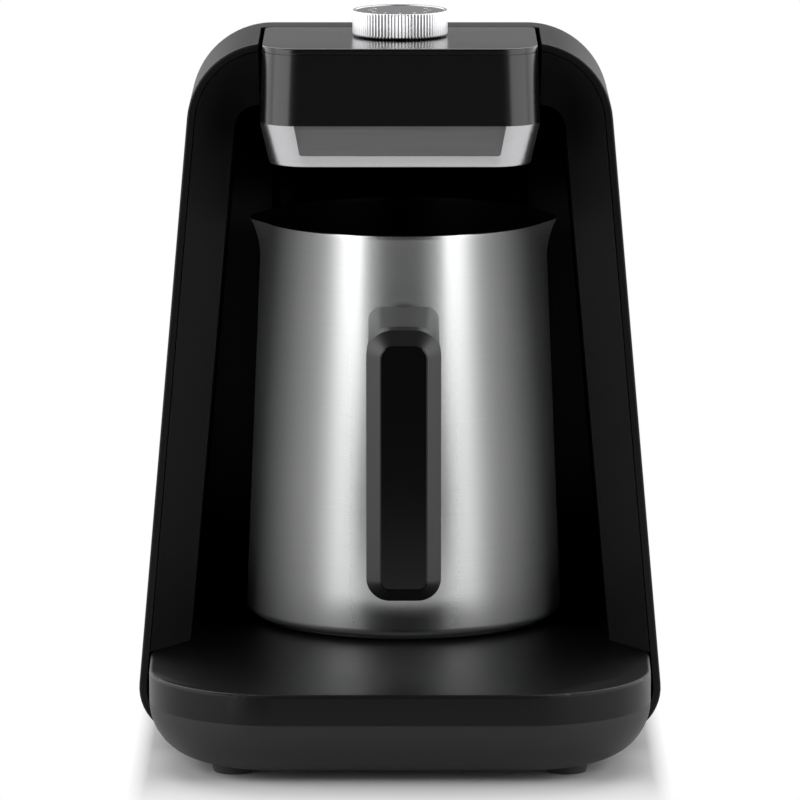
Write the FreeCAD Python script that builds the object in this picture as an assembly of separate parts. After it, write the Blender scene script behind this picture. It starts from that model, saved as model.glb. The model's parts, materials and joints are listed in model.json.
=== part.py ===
import FreeCAD, Part
import math
import os

V = FreeCAD.Vector

# Overall form, millimetres; front is -Y, origin on the table under the middle
pot_reach = 137.0
pot_bottom_radius = 53.0
pot_back_gap = 9.0
rear_depth = 39.4
gland_flange = 1.6
depth = pot_reach + pot_bottom_radius + pot_back_gap + rear_depth + gland_flange
front_y = -depth / 2
pot_y = front_y + pot_reach
bay_back = pot_y + pot_bottom_radius + pot_back_gap
shell_back = bay_back + rear_depth
frame_top = 231.7
foot_height = 3.0
joint_gap = 0.3
touch_gap = 0.02
running_gap = 0.05
beyond = 200.0

# Base and tray
tray_top = 31.0
base_front_half = 80.6
base_back_half = 83.4
base_inner_half = 81.2
base_corner_radius = 42.0
base_under_radius = 18.0
base_wall = 2.4
tray_lip_radius = 1.2
base_back = bay_back
rear_skirt_drop = 9.0
cover_thickness = 2.4
cover_ledge = 1.0
cover_back = shell_back - 17.4
cover_back_radius = 10.0
cover_vent_count = 7
cover_vent_pitch = 7.0
cover_vent_width = 2.2
cover_vent_length = 34.0

# Feet
foot_half_spacing = 53.5
foot_front_set = 30.0
foot_back_y = shell_back - 28.4
foot_radius = 7.3
foot_tip_radius = 6.6
foot_plug_radius = 3.0

# Arch shell
leg_set = 68.0
shell_front = front_y + leg_set
shell_half_bottom = 87.0
side_lean = 0.0885
shell_wall = 2.4
shell_top_radius = 27.0
shell_bottom_radius = 16.0
shell_crown_radius = 118.0
shell_edge_radius = 0.7

# Bay inside the arch
bay_side_inset = 15.3
bay_top = frame_top - 22.7
bay_corner_radius = 8.2
bay_slant_depth = 20.0
bezel_skin = 4.5
bezel_lip = 1.8
bezel_lip_length = 6.0
liner_wall = 2.2
bay_crown_radius = 60.0
column_half = 44.0
column_step = 5.0
column_radius = 4.0

# Head
head_overhang = 18.2
head_length = 63.5
head_front = shell_front - head_overhang
head_back = head_front + head_length
head_half = 45.2
head_draft = 0.8
head_corner_radius = 13.0
head_back_radius = 3.0
head_wall = 2.2
head_bottom = frame_top - 24.9
head_cover_thickness = 2.2
head_cover_seam = 0.4
head_cover_edge = 0.6
head_seam_depth = 0.6
head_notch_half = head_half + 0.6
band_height = 13.7
band_bottom = head_bottom - band_height
band_wall = 3.4
band_taper = 3.0
band_edge = 0.5
plate_recess = 2.3
plate_half = 34.3
plate_side_slant = 2.0
plate_bottom = band_bottom + 4.8

# Heating plate
plate_radius = 42.0
plate_thickness = 3.0
seal_width = 2.5
seal_lip = 4.0
seal_foot = 1.8
element_ring_radius = 28.0
element_tube_radius = 3.2
element_sweep = 300.0
bracket_width = 16.0
bracket_thickness = 1.2
bracket_half = 54.0
thermostat_radius = 8.5
thermostat_height = 8.0
fuse_radius = 2.0
fuse_length = 14.0
fuse_set = 15.0

# Pot
pot_side = 1.2
pot_rim_radius = 47.4
pot_rim_z = 165.6
pot_wall = 1.0
pot_floor = 3.0
pot_heel_radius = 3.0
pot_flare_height = 16.0
pot_spout_reach = 52.6
pot_spout_radius = 5.0
pot_ring_height = 0.9
pot_ring_radius = 50.6
pot_ring_inner = 45.6
pot_lift = 0.3

# Handle
handle_half = 12.1
handle_top = 141.0
handle_bottom = 52.3
handle_back_reach = 78.0
handle_front_reach = 95.0
handle_bevel = 4.8
handle_bevel_depth = 5.0
handle_foot_radius = 7.5
handle_crown_radius = 8.5
handle_back_radius = 4.0
insert_depth = 1.6
insert_lap = 0.4
bridge_top = 144.2
bridge_half = 11.6
bridge_bottom = 126.0
bridge_front_set = 9.0
bridge_edge = 1.6
bridge_crown = 4.4
mount_half = 8.0
mount_thickness = 1.2
mount_margin = 3.0
mount_fit = 0.1
stud_radius = 2.0
stud_length = 12.0
handle_screw_radius = 1.5
handle_screw_head = 3.0
handle_screw_head_height = 2.0
handle_screw_rise = 6.0
insert_fit = 0.08

# Knob
knob_y = head_front + 38.2
knob_radius = 15.5
knob_top_radius = 15.3
knob_gap = 0.6
knob_height = 8.0
knob_bottom = frame_top + knob_gap
knob_top = knob_bottom + knob_height
knob_wall = 1.4
knob_cap_radius = 14.2
knob_cap_thickness = 1.2
knob_cap_recess = 0.25
knob_edge = 0.4
knob_foot = 0.6
knob_ledge = 1.0
knob_core_lift = 0.4
knob_skirt_wall = 1.2
knob_rib_half = 0.6
knob_rib_count = 6
knob_press = 0.5
knob_hub_radius = 5.0
shaft_radius = 3.0
collar_radius = 9.0
collar_height = 0.3

# Control board and encoder
board_thickness = 1.6
board_z = frame_top - 18.7
board_half = 37.0
board_front = head_front + 10.2
board_back = head_back - 7.3
post_radius = 3.2
screw_radius = 1.3
screw_head_radius = 2.6
screw_head_height = 1.6
encoder_half = 6.2
encoder_height = 6.4
bushing_radius = 4.4
bushing_top = frame_top - 2.3
plunger_radius = 2.4
plunger_height = 1.6
dome_height = 0.3
buzzer_radius = 6.0
buzzer_height = 5.5
buzzer_place = (24.0, knob_y - 4.0)
chip_place = (-26.0, knob_y - 6.0)
chip_half = 4.0
chip_height = 1.2
socket_half = 9.0
socket_depth = 6.0
slot_half_width = 0.3
slot_depth = 0.7
sensor_lens_radius = 5.0
sensor_lens_flange = 1.5
sensor_lens_step = 1.2
sensor_board_half_x = 11.0
sensor_board_half_y = 9.0
sensor_chip_half = 2.5

# Rear electronics
power_y = bay_back + 13.0
power_half = 40.0
power_low = 44.0
power_high = 124.0
power_post_radius = 3.6
relay_size = (15.0, 12.0, 19.0)
transformer_size = (26.0, 20.0, 24.0)
terminal_size = (20.0, 9.0, 10.0)
relay_place = (14.0, 60.0)
transformer_place = (-36.0, 78.0)
transformer_coil_side = 3.0
transformer_coil_end = 6.0
terminal_centre = -20.0
terminal_hole_radius = 1.6
lead_spacing = 3.4
lead_radius = 1.3
lead_bend = 4.0
heater_lead_straight = 9.0
lead_side_gap = 0.1
terminal_low = 49.0
terminal_pitch = 6.5
ribbon_thickness = 0.9
ribbon_half = 7.0
ribbon_rise = 6.0
ribbon_turn_y = pot_y + 3.0
ribbon_bends = ((bay_back - 9.0, 186.0), (bay_back + 7.0, 150.0))

# Cord gland
gland_x = -46.0
gland_z = 27.5
gland_bore = 3.6
gland_body_radius = 5.6
gland_flange_radius = 8.0
gland_nut_radius = 8.0
gland_nut_thickness = 3.0
gland_length = 12.0

# Case screws
case_screw_radius = 1.5
case_screw_head = 2.8
case_boss_radius = 4.2
case_screw_length = 14.0
rear_screw_x = 46.0
rear_screw_low = 46.0
rear_screw_high = 104.0
base_screw_x = 50.0
base_screw_front = front_y + 52.0
base_screw_back = bay_back - 7.0
head_screw_x = 28.0
head_screw_length = 10.0
board_screw_length = 6.0
head_sink = 0.2
case_slot_half = 0.4
case_slot_depth = 0.7
slot_end = 0.8
small_slot_end = 0.6
head_screw_rise = 1.0


# Points given in a plane, placed in the room
def flat(z):
    return lambda u, v: V(u, v, z)


def facing(y):
    return lambda u, v: V(u, y, v)


def sideways(x):
    return lambda u, v: V(x, u, v)


# Corners of a convex outline moved inwards; the outline runs anticlockwise
def inset_points(points, inset):
    moved = []
    for i, (x, y) in enumerate(points):
        before = points[i - 1]
        after = points[(i + 1) % len(points)]
        a = (x - before[0], y - before[1])
        b = (after[0] - x, after[1] - y)
        la = math.hypot(*a)
        lb = math.hypot(*b)
        na = (-a[1] / la, a[0] / la)
        nb = (-b[1] / lb, b[0] / lb)
        share = inset / (1 + na[0] * nb[0] + na[1] * nb[1])
        moved.append((x + share * (na[0] + nb[0]), y + share * (na[1] + nb[1])))
    return moved


# Closed outline with straight sides and round corners
def outline(place, points, radii, inset=0.0):
    corners = [place(*p) for p in inset_points(points, inset)]
    rounds = [max(r - inset, 0.0) if r > 0 else 0.0 for r in radii]
    ends = []
    for i, corner in enumerate(corners):
        u = (corners[i - 1] - corner).normalize()
        w = (corners[(i + 1) % len(corners)] - corner).normalize()
        if rounds[i] < 1e-6:
            ends.append((corner, corner, None))
            continue
        half = u.getAngle(w) / 2
        run = rounds[i] / math.tan(half)
        middle = (u + w).normalize()
        centre = corner + middle * (rounds[i] / math.sin(half))
        ends.append((corner + u * run, corner + w * run, centre - middle * rounds[i]))
    edges = []
    for i, (start, stop, middle) in enumerate(ends):
        if middle is not None:
            edges.append(Part.Arc(start, middle, stop).toShape())
        following = ends[(i + 1) % len(ends)][0]
        if (following - stop).Length > 1e-6:
            edges.append(Part.LineSegment(stop, following).toShape())
    return Part.Wire(edges)


def prism(wire, direction):
    return Part.Face(wire).extrude(direction)


def box(x0, x1, y0, y1, z0, z1):
    return Part.makeBox(x1 - x0, y1 - y0, z1 - z0, V(x0, y0, z0))


def post(x, y, z0, z1, radius):
    return Part.makeCylinder(radius, z1 - z0, V(x, y, z0), V(0, 0, 1))


def rod_y(x, z, y0, y1, radius):
    return Part.makeCylinder(radius, y1 - y0, V(x, y0, z), V(0, 1, 0))


def rod_x(y, z, x0, x1, radius):
    return Part.makeCylinder(radius, x1 - x0, V(x0, y, z), V(1, 0, 0))


def round_box(x0, x1, y0, y1, z0, z1, radius):
    wire = outline(flat(z0), [(x0, y0), (x1, y0), (x1, y1), (x0, y1)], [radius] * 4)
    return prism(wire, V(0, 0, z1 - z0))


# Ring turned about a vertical line through x, y from half-section points
def turned(x, y, section):
    corners = [V(x + r, y, z) for r, z in section]
    wire = Part.makePolygon(corners + corners[:1])
    return Part.Face(wire).revolve(V(x, y, 0), V(0, 0, 1), 360)


def edges_where(shape, test):
    return [edge for edge in shape.Edges if test(edge.BoundBox)]


def mirrored(shape):
    return shape.mirror(V(0, 0, 0), V(1, 0, 0))


# Lead with round section along straight runs joined by tangent arcs
def lead(points, radius, bend):
    path = []
    start = points[0]
    for i in range(1, len(points) - 1):
        back = (points[i - 1] - points[i]).normalize()
        ahead = (points[i + 1] - points[i]).normalize()
        half = back.getAngle(ahead) / 2
        run = bend / math.tan(half)
        inner = (back + ahead).normalize()
        arc_in = points[i] + back * run
        arc_out = points[i] + ahead * run
        middle = points[i] + inner * (bend / math.sin(half) - bend)
        path.append(Part.LineSegment(start, arc_in).toShape())
        path.append(Part.Arc(arc_in, middle, arc_out).toShape())
        start = arc_out
    path.append(Part.LineSegment(start, points[-1]).toShape())
    direction = points[1] - points[0]
    ring = Part.Wire([Part.makeCircle(radius, points[0], direction)])
    return Part.Wire(path).makePipeShell([ring], True, False)


def write(name, shape):
    solids = shape.Solids
    kept = solids[0] if len(solids) == 1 else Part.makeCompound(solids)
    kept.exportStep("parts/" + name + ".step")
    print(name, len(solids), "solids,", round(kept.Volume / 1000, 2), "cm3, valid", kept.isValid())


# Arch outline seen from the front
def arch_corners():
    top_half = shell_half_bottom - side_lean * (frame_top - foot_height)
    return [(-shell_half_bottom, foot_height), (shell_half_bottom, foot_height),
            (top_half, frame_top), (-top_half, frame_top)]


def arch_outline(y, inset):
    radii = [shell_bottom_radius, shell_bottom_radius, shell_top_radius, shell_top_radius]
    return outline(facing(y), arch_corners(), radii, inset)


def bay_outline(y, inset):
    rise = bay_top - foot_height
    half = shell_half_bottom - bay_side_inset
    top_half = half - side_lean * rise
    points = [(-half, foot_height), (half, foot_height), (top_half, bay_top), (-top_half, bay_top)]
    return outline(facing(y), points, [bay_corner_radius] * 4, inset)


# Side profile of the bay, with a large round where ceiling and back wall meet
def bay_profile(inset, front):
    points = [(front, -50.0), (bay_back, -50.0), (bay_back, bay_top), (front, bay_top)]
    wire = outline(sideways(-shell_half_bottom), points, [0, 0, bay_crown_radius, 0], inset)
    return prism(wire, V(2 * shell_half_bottom, 0, 0))


def bay_form(inset, front):
    body = prism(bay_outline(front, inset), V(0, bay_back + 20 - front, 0))
    return body.common(bay_profile(inset, front - 20))


# Whole outer form of the arch, rounded along its sides, over the crown and round the bottom
def shell_form(inset):
    nose = shell_front - 10.0
    profile = [(nose, foot_height), (shell_back, foot_height), (shell_back, frame_top), (nose, frame_top)]
    side = outline(sideways(-shell_half_bottom - 5), profile, [0, 0, shell_crown_radius, 0], inset)
    body = prism(side, V(2 * shell_half_bottom + 10, 0, 0))
    front = outline(facing(shell_front), arch_corners(), [0, 0, 0, 0], inset)
    body = body.common(prism(front, V(0, depth, 0)))
    floor = foot_height + inset
    ridges = edges_where(body, lambda b: b.XMin * b.XMax > 0 and b.YMax > shell_front + 1 and b.ZMax > floor + 1)
    body = body.makeFillet(shell_top_radius - inset, ridges)
    rim = edges_where(body, lambda b: b.ZMax < floor + 0.01 and b.YMax > shell_front + 0.01)
    return body.makeFillet(shell_bottom_radius - inset, rim)


def make_rear_shell():
    outer = shell_form(0)
    front_edges = edges_where(outer, lambda b: b.YMax < shell_front + 0.01)
    outer = outer.makeFillet(shell_edge_radius, front_edges)
    inner = shell_form(shell_wall)
    inner.translate(V(0, -0.001, 0))
    mouth = prism(arch_outline(shell_front - 1, shell_wall), V(0, 5, 0))
    shell = outer.cut(inner).cut(mouth)
    shell = shell.cut(box(-head_notch_half, head_notch_half, shell_front - 5, head_back + joint_gap,
                          band_bottom, frame_top + 5))
    shell = shell.cut(prism(cover_outline(foot_height - 1, -joint_gap), V(0, 0, shell_wall + 2)))
    shell = shell.cut(rod_y(gland_x, gland_z, shell_back - 6, shell_back + 2, gland_body_radius + running_gap))
    for x, z in rear_screw_places():
        shell = shell.cut(rod_y(x, z, shell_back - 6, shell_back + 2, case_screw_radius + running_gap))
        head = case_screw_head + running_gap
        shell = shell.cut(rod_y(x, z, shell_back - screw_head_height, shell_back + 2, head))
    write("rear_shell", shell)


def rear_screw_places():
    return [(side * rear_screw_x, z) for side in (-1, 1) for z in (rear_screw_low, rear_screw_high)]


def make_rear_screws():
    screws = []
    for x, z in rear_screw_places():
        seat = shell_back - screw_head_height
        face = shell_back - head_sink
        low = face - case_slot_depth
        head = rod_y(x, z, seat, face, case_screw_head)
        shank = rod_y(x, z, seat - case_screw_length, seat, case_screw_radius)
        reach = case_screw_head - slot_end
        slot = box(x - reach, x + reach, low, shell_back + 1, z - case_slot_half, z + case_slot_half)
        cross = box(x - case_slot_half, x + case_slot_half, low, shell_back + 1, z - reach, z + reach)
        screws.append(head.fuse(shank).cut(slot.fuse(cross)))
    write("rear_screws", Part.makeCompound(screws))


# Base moulding: tray, curved underside and a skirt that runs back into the arch
def base_points():
    return [(-base_front_half, front_y), (base_front_half, front_y),
            (base_back_half, base_back), (-base_back_half, base_back)]


def base_block(inset, low, high, under):
    radii = [base_corner_radius, base_corner_radius, 0, 0]
    block = prism(outline(flat(low), base_points(), radii, inset), V(0, 0, high - low))
    rim = edges_where(block, lambda b: b.ZMax < low + 0.01 and b.YMin < base_back - inset - 0.01)
    return block.makeFillet(under, rim)


def cover_outline(z, inset):
    half = base_front_half - base_under_radius - cover_ledge
    front = front_y + base_under_radius + cover_ledge
    points = [(-half, front), (half, front), (half, cover_back), (-half, cover_back)]
    corner = base_corner_radius - base_under_radius - cover_ledge
    return outline(flat(z), points, [corner, corner, cover_back_radius, cover_back_radius], inset)


def base_screw_places():
    return [(side * base_screw_x, y) for side in (-1, 1) for y in (base_screw_front, base_screw_back)]


def make_base_tray():
    block = base_block(0, foot_height, tray_top, base_under_radius)
    lip = edges_where(block, lambda b: b.ZMin > tray_top - 0.01 and b.YMin < base_back - 0.01)
    block = block.makeFillet(tray_lip_radius, lip)
    hollow = base_block(base_wall, foot_height + base_wall, tray_top - base_wall, base_under_radius - base_wall)
    hollow = hollow.fuse(box(-base_inner_half + base_wall, base_inner_half - base_wall, base_back - 8,
                             base_back + 1, foot_height + base_wall, tray_top - base_wall))
    tray = block.cut(hollow)
    tray = tray.cut(prism(cover_outline(foot_height - 1, -joint_gap), V(0, 0, base_wall + 2)))
    inside = shell_front - joint_gap
    tray = tray.cut(box(-beyond, beyond, inside, beyond, 0, tray_top - rear_skirt_drop))
    for side in (-1, 1):
        edge = side * base_inner_half
        far = side * beyond
        tray = tray.cut(box(min(edge, far), max(edge, far), inside, beyond, 0, beyond))
    for x, y in base_screw_places():
        boss = post(x, y, foot_height + cover_thickness, tray_top - base_wall, case_boss_radius)
        tray = tray.fuse(boss)
        pilot = case_screw_radius + running_gap
        tray = tray.cut(post(x, y, 0, foot_height + case_screw_length + 1, pilot))
    for x in bracket_screw_places():
        boss = post(x, pot_y, bracket_level() + bracket_thickness, tray_top - base_wall, case_boss_radius)
        tray = tray.fuse(boss)
        tray = tray.cut(post(x, pot_y, 0, tray_top - base_wall - 1, screw_radius + running_gap))
    hole = plate_radius + seal_width + running_gap
    tray = tray.cut(post(0, pot_y, 0, tray_top + 5, hole))
    write("base_tray", tray)


def make_bottom_cover():
    cover = prism(cover_outline(foot_height, 0), V(0, 0, cover_thickness))
    for x, y in foot_places():
        cover = cover.cut(post(x, y, 0, 20, foot_plug_radius + running_gap))
    for x, y in base_screw_places():
        cover = cover.cut(post(x, y, 0, 20, case_screw_radius + running_gap))
        head = case_screw_head + running_gap
        cover = cover.cut(post(x, y, 0, foot_height + screw_head_height, head))
    for i in range(cover_vent_count):
        y = pot_y + (i - (cover_vent_count - 1) / 2) * cover_vent_pitch
        half = cover_vent_length / 2
        slot = round_box(-half, half, y - cover_vent_width / 2, y + cover_vent_width / 2, 0, 20,
                         cover_vent_width / 2 - 0.01)
        cover = cover.cut(slot)
    write("bottom_cover", cover)


def make_base_screws():
    screws = []
    for x, y in base_screw_places():
        seat = foot_height + screw_head_height
        face = foot_height + head_sink
        high = face + case_slot_depth
        head = post(x, y, face, seat, case_screw_head)
        shank = post(x, y, seat, seat + case_screw_length - 2, case_screw_radius)
        reach = case_screw_head - slot_end
        slot = box(x - reach, x + reach, y - case_slot_half, y + case_slot_half, 0, high)
        cross = box(x - case_slot_half, x + case_slot_half, y - reach, y + reach, 0, high)
        screws.append(head.fuse(shank).cut(slot.fuse(cross)))
    write("base_screws", Part.makeCompound(screws))


def foot_places():
    rows = (front_y + foot_front_set, foot_back_y)
    return [(side * foot_half_spacing, y) for side in (-1, 1) for y in rows]


def make_feet():
    feet = []
    for x, y in foot_places():
        pad = Part.makeCone(foot_tip_radius, foot_radius, foot_height, V(x, y, 0), V(0, 0, 1))
        plug = post(x, y, foot_height, foot_height + cover_thickness + 0.6, foot_plug_radius)
        feet.append(pad.fuse(plug))
    write("rubber_feet", Part.makeCompound(feet))


# Two mirrored front frames that slope back into the bay
def bezel_side():
    shell_inset = shell_wall + joint_gap
    slope_end = shell_front + bay_slant_depth
    lip_end = slope_end + bezel_lip_length
    mouth = Part.makeLoft([arch_outline(shell_front, shell_inset), bay_outline(slope_end, 0)], True, True)
    mouth = mouth.fuse(prism(bay_outline(slope_end, 0), V(0, 40, 0)))
    collar = prism(arch_outline(shell_front, shell_inset), V(0, bezel_skin, 0))
    skin = Part.makeLoft([arch_outline(shell_front + bezel_skin, shell_inset),
                          bay_outline(slope_end + bezel_skin / 3, -bezel_lip)], True, True)
    tube = prism(bay_outline(slope_end + bezel_skin / 3, -bezel_lip), V(0, lip_end - slope_end - bezel_skin / 3, 0))
    frame = collar.fuse(skin).fuse(tube).cut(mouth)
    frame = frame.cut(box(-beyond, beyond, -beyond, beyond, 0, tray_top + touch_gap))
    return frame.cut(box(-beyond, head_notch_half, -beyond, beyond, 0, 2 * beyond))


def make_bezels():
    right = bezel_side()
    write("right_bezel", right)
    write("left_bezel", mirrored(right))


# Bay walls, ceiling with the duct behind the head, and the raised column at the back
def column_face(b):
    return b.ZLength > 20 and b.YMax < bay_back - column_step + 0.01


def make_bay_liner():
    front = shell_front + bay_slant_depth + bezel_lip_length + joint_gap
    duct_front = head_back + joint_gap
    duct_low = band_bottom + joint_gap
    inner = bay_form(0, front - 1)
    liner = bay_form(-liner_wall, front).cut(inner)
    duct = box(-column_half, column_half, duct_front, bay_back, duct_low, bay_top + liner_wall)
    liner = liner.fuse(duct.common(bay_form(-liner_wall, front)))
    column = bay_form(-0.5, front).cut(bay_profile(column_step, -300))
    column = column.common(box(-column_half, column_half, 0, beyond, 0, duct_low + 3))
    upright = edges_where(column, lambda b: b.XLength < 0.01 and column_face(b))
    liner = liner.fuse(column.makeFillet(column_radius, upright))
    half = column_half - liner_wall
    behind = box(-half, half, 0, beyond, tray_top + 4, 2 * beyond).cut(bay_profile(column_step - liner_wall, -300))
    above = box(-half, half, duct_front + liner_wall, beyond, duct_low + liner_wall, 2 * beyond)
    liner = liner.cut(behind).cut(above)
    liner = liner.cut(box(-beyond, beyond, -beyond, beyond, 0, tray_top))
    notch = box(-head_notch_half, head_notch_half, front - 5, head_back + joint_gap, bay_top - 20, bay_top + 20)
    liner = liner.cut(notch)
    for x, z in rear_screw_places():
        liner = liner.fuse(rod_y(x, z, bay_back + 0.5, shell_back - shell_wall - touch_gap, case_boss_radius))
        liner = liner.cut(rod_y(x, z, bay_back + 4, shell_back, case_screw_radius + running_gap))
    for x, z in power_post_places():
        liner = liner.fuse(rod_y(x, z, bay_back - column_step + 1, power_y, power_post_radius))
        liner = liner.cut(rod_y(x, z, bay_back + 1, power_y + 1, screw_radius + running_gap))
    for x in head_screw_places():
        liner = liner.cut(rod_y(x, head_screw_z(), duct_front - 1, duct_front + 5, case_screw_radius + running_gap))
    lens = sensor_lens_radius + running_gap
    liner = liner.cut(post(0, pot_y, duct_low - 1, duct_low + liner_wall + 1, lens))
    write("bay_liner", liner)


# Head: glossy box, top cover, bright band and underside
def head_points(grow):
    half = head_half + grow
    front = head_front - grow
    return [(-half, front), (half, front), (half, head_back), (-half, head_back)]


def head_outline(z, grow, inset=0.0):
    radii = [head_corner_radius, head_corner_radius, head_back_radius, head_back_radius]
    return outline(flat(z), head_points(grow), radii, inset)


def make_head_shell():
    high = frame_top - head_cover_thickness
    outer = Part.makeLoft([head_outline(head_bottom, 0), head_outline(high, -head_draft)], True, True)
    inner = Part.makeLoft([head_outline(head_bottom - 0.01, 0, head_wall),
                           head_outline(high + 0.01, -head_draft, head_wall)], True, True)
    slot = box(-ribbon_half - 1, ribbon_half + 1, head_back - head_wall - 1, head_back + 1,
               ribbon_level() - 1.5, ribbon_level() + ribbon_thickness + 1.5)
    write("head_shell", outer.cut(inner).cut(slot))


def make_head_cover():
    low = frame_top - head_cover_thickness
    plate = prism(head_outline(low + head_cover_seam, -head_draft), V(0, 0, head_cover_thickness - head_cover_seam))
    rim = edges_where(plate, lambda b: b.ZMin > frame_top - 0.01)
    plate = plate.makeFillet(head_cover_edge, rim)
    neck = prism(head_outline(low, -head_draft, head_seam_depth), V(0, 0, head_cover_seam))
    locator = prism(head_outline(low - 1.5, -head_draft, head_wall + joint_gap), V(0, 0, 1.5))
    inside = prism(head_outline(low - 2, -head_draft, head_wall + joint_gap + 1.5), V(0, 0, 2))
    cover = plate.fuse(neck).fuse(locator.cut(inside))
    cover = cover.fuse(post(0, knob_y, frame_top, frame_top + collar_height, collar_radius))
    cover = cover.cut(post(0, knob_y, low - 3, frame_top + 3, bushing_radius + joint_gap))
    write("head_top_cover", cover)


def band_form(inset, low_z, high_z):
    slope = band_taper / (head_bottom - band_bottom)
    sections = []
    for z in (low_z, high_z):
        grow = slope * (z - head_bottom)
        sections.append(outline(flat(z), head_points(grow), band_radii(), inset))
    return Part.makeLoft(sections, True, True)


def band_radii():
    return [head_corner_radius, head_corner_radius, head_back_radius, head_back_radius]


def make_chrome_band():
    outer = band_form(0, band_bottom, head_bottom - touch_gap)
    rim = edges_where(outer, lambda b: b.ZMax < band_bottom + 0.01)
    outer = outer.makeFillet(band_edge, rim)
    band = outer.cut(band_form(band_wall, band_bottom - 1, head_bottom + 1))
    opening = head_half - band_taper - band_wall - joint_gap
    band = band.cut(box(-opening, opening, head_back - band_wall - 1, beyond, 0, 2 * beyond))
    low_half = plate_half - plate_side_slant
    points = [(-low_half, plate_bottom - 1), (low_half, plate_bottom - 1),
              (plate_half, head_bottom + 1), (-plate_half, head_bottom + 1)]
    wire = outline(facing(head_front - 5), points, [0.8, 0.8, 0, 0])
    band = band.cut(prism(wire, V(0, 5 + plate_recess, 0)))
    write("chrome_band", band)


def head_screw_places():
    return (-head_screw_x, head_screw_x)


def head_screw_z():
    return (band_bottom + bay_top) / 2 + head_screw_rise


def board_post_places():
    inset = post_radius + 1.0
    xs = (-board_half + inset, board_half - inset)
    ys = (board_front + inset, board_back - inset)
    return [(x, y) for x in xs for y in ys]


def make_head_base():
    clear = band_wall + joint_gap
    plate = band_form(clear, band_bottom, band_bottom + liner_wall)
    half = head_half - band_taper - clear
    plate = plate.cut(box(-beyond, beyond, head_back - head_wall, beyond, 0, 2 * beyond))
    wall = box(-half + 2, half - 2, head_back - head_wall, head_back, band_bottom, head_bottom)
    base = plate.fuse(wall)
    for x in head_screw_places():
        deep = head_back - head_screw_length
        base = base.fuse(rod_y(x, head_screw_z(), deep - 1, head_back - 1, case_boss_radius))
        pilot = rod_y(x, head_screw_z(), deep, head_back + 1, case_screw_radius + running_gap)
        base = base.cut(pilot)
    for x, y in board_post_places():
        base = base.fuse(post(x, y, band_bottom + 1, board_z, post_radius))
        base = base.cut(post(x, y, board_z - board_screw_length - 2, board_z + 1, screw_radius + running_gap))
    write("head_base", base)


def make_head_screws():
    screws = []
    seat = head_back + joint_gap + liner_wall
    for x in head_screw_places():
        high = seat + screw_head_height
        level = head_screw_z()
        head = rod_y(x, level, seat, high, case_screw_head)
        shank = rod_y(x, level, seat - head_screw_length, seat, case_screw_radius)
        reach = case_screw_head - slot_end
        slot = box(x - reach, x + reach, high - case_slot_depth, high + 1, level - case_slot_half,
                   level + case_slot_half)
        screws.append(head.fuse(shank).cut(slot))
    write("head_screws", Part.makeCompound(screws))


# Level sensor that looks down into the pot
def make_sensor():
    low = band_bottom + joint_gap
    flange = low + liner_wall
    seat = flange + sensor_lens_step
    lens = post(0, pot_y, low, flange, sensor_lens_radius)
    lens = lens.fuse(post(0, pot_y, flange, seat, sensor_lens_radius + sensor_lens_flange))
    write("sensor_lens", lens)
    half_x = sensor_board_half_x
    half_y = sensor_board_half_y
    top = seat + board_thickness
    board = round_box(-half_x, half_x, pot_y - half_y, pot_y + half_y, seat, top, 1.0)
    half = sensor_chip_half
    chip = box(-half, half, pot_y - half, pot_y + half, top, top + chip_height)
    write("sensor_board", board.fuse(chip))


# Control board, encoder and its push switch
def make_control():
    top = board_z + board_thickness
    board = round_box(-board_half, board_half, board_front, board_back, board_z, top, 2.0)
    for x, y in board_post_places():
        board = board.cut(post(x, y, board_z - 1, top + 1, screw_radius + running_gap))
    x, y = chip_place
    chip = box(x - chip_half, x + chip_half, y - chip_half, y + chip_half, top, top + chip_height)
    socket = box(-socket_half, socket_half, board_back - 2 - socket_depth, board_back - 2,
                 top, ribbon_level() - 2 - touch_gap)
    write("control_board", board.fuse(chip).fuse(socket))
    screws = []
    for x, y in board_post_places():
        high = top + screw_head_height
        head = post(x, y, top, high, screw_head_radius)
        shank = post(x, y, board_z - board_screw_length, top, screw_radius)
        reach = screw_head_radius - small_slot_end
        slot = box(x - reach, x + reach, y - slot_half_width, y + slot_half_width, high - slot_depth, high + 1)
        screws.append(head.fuse(shank).cut(slot))
    write("board_screws", Part.makeCompound(screws))
    body = box(-encoder_half, encoder_half, knob_y - encoder_half, knob_y + encoder_half, top, top + encoder_height)
    body = body.fuse(post(0, knob_y, top, bushing_top, bushing_radius))
    body = body.cut(post(0, knob_y, top + 1, bushing_top + 1, shaft_radius + running_gap))
    write("encoder", body)
    dome = post(0, knob_y, top + 1, top + 1 + dome_height, plunger_radius)
    write("switch_dome", dome)
    rest = top + 1 + dome_height + knob_press + 0.2
    plunger = post(0, knob_y, rest, rest + plunger_height, plunger_radius)
    write("switch_plunger", plunger)
    x, y = buzzer_place
    write("buzzer", post(x, y, top, top + buzzer_height, buzzer_radius))
    return rest + plunger_height


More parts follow.
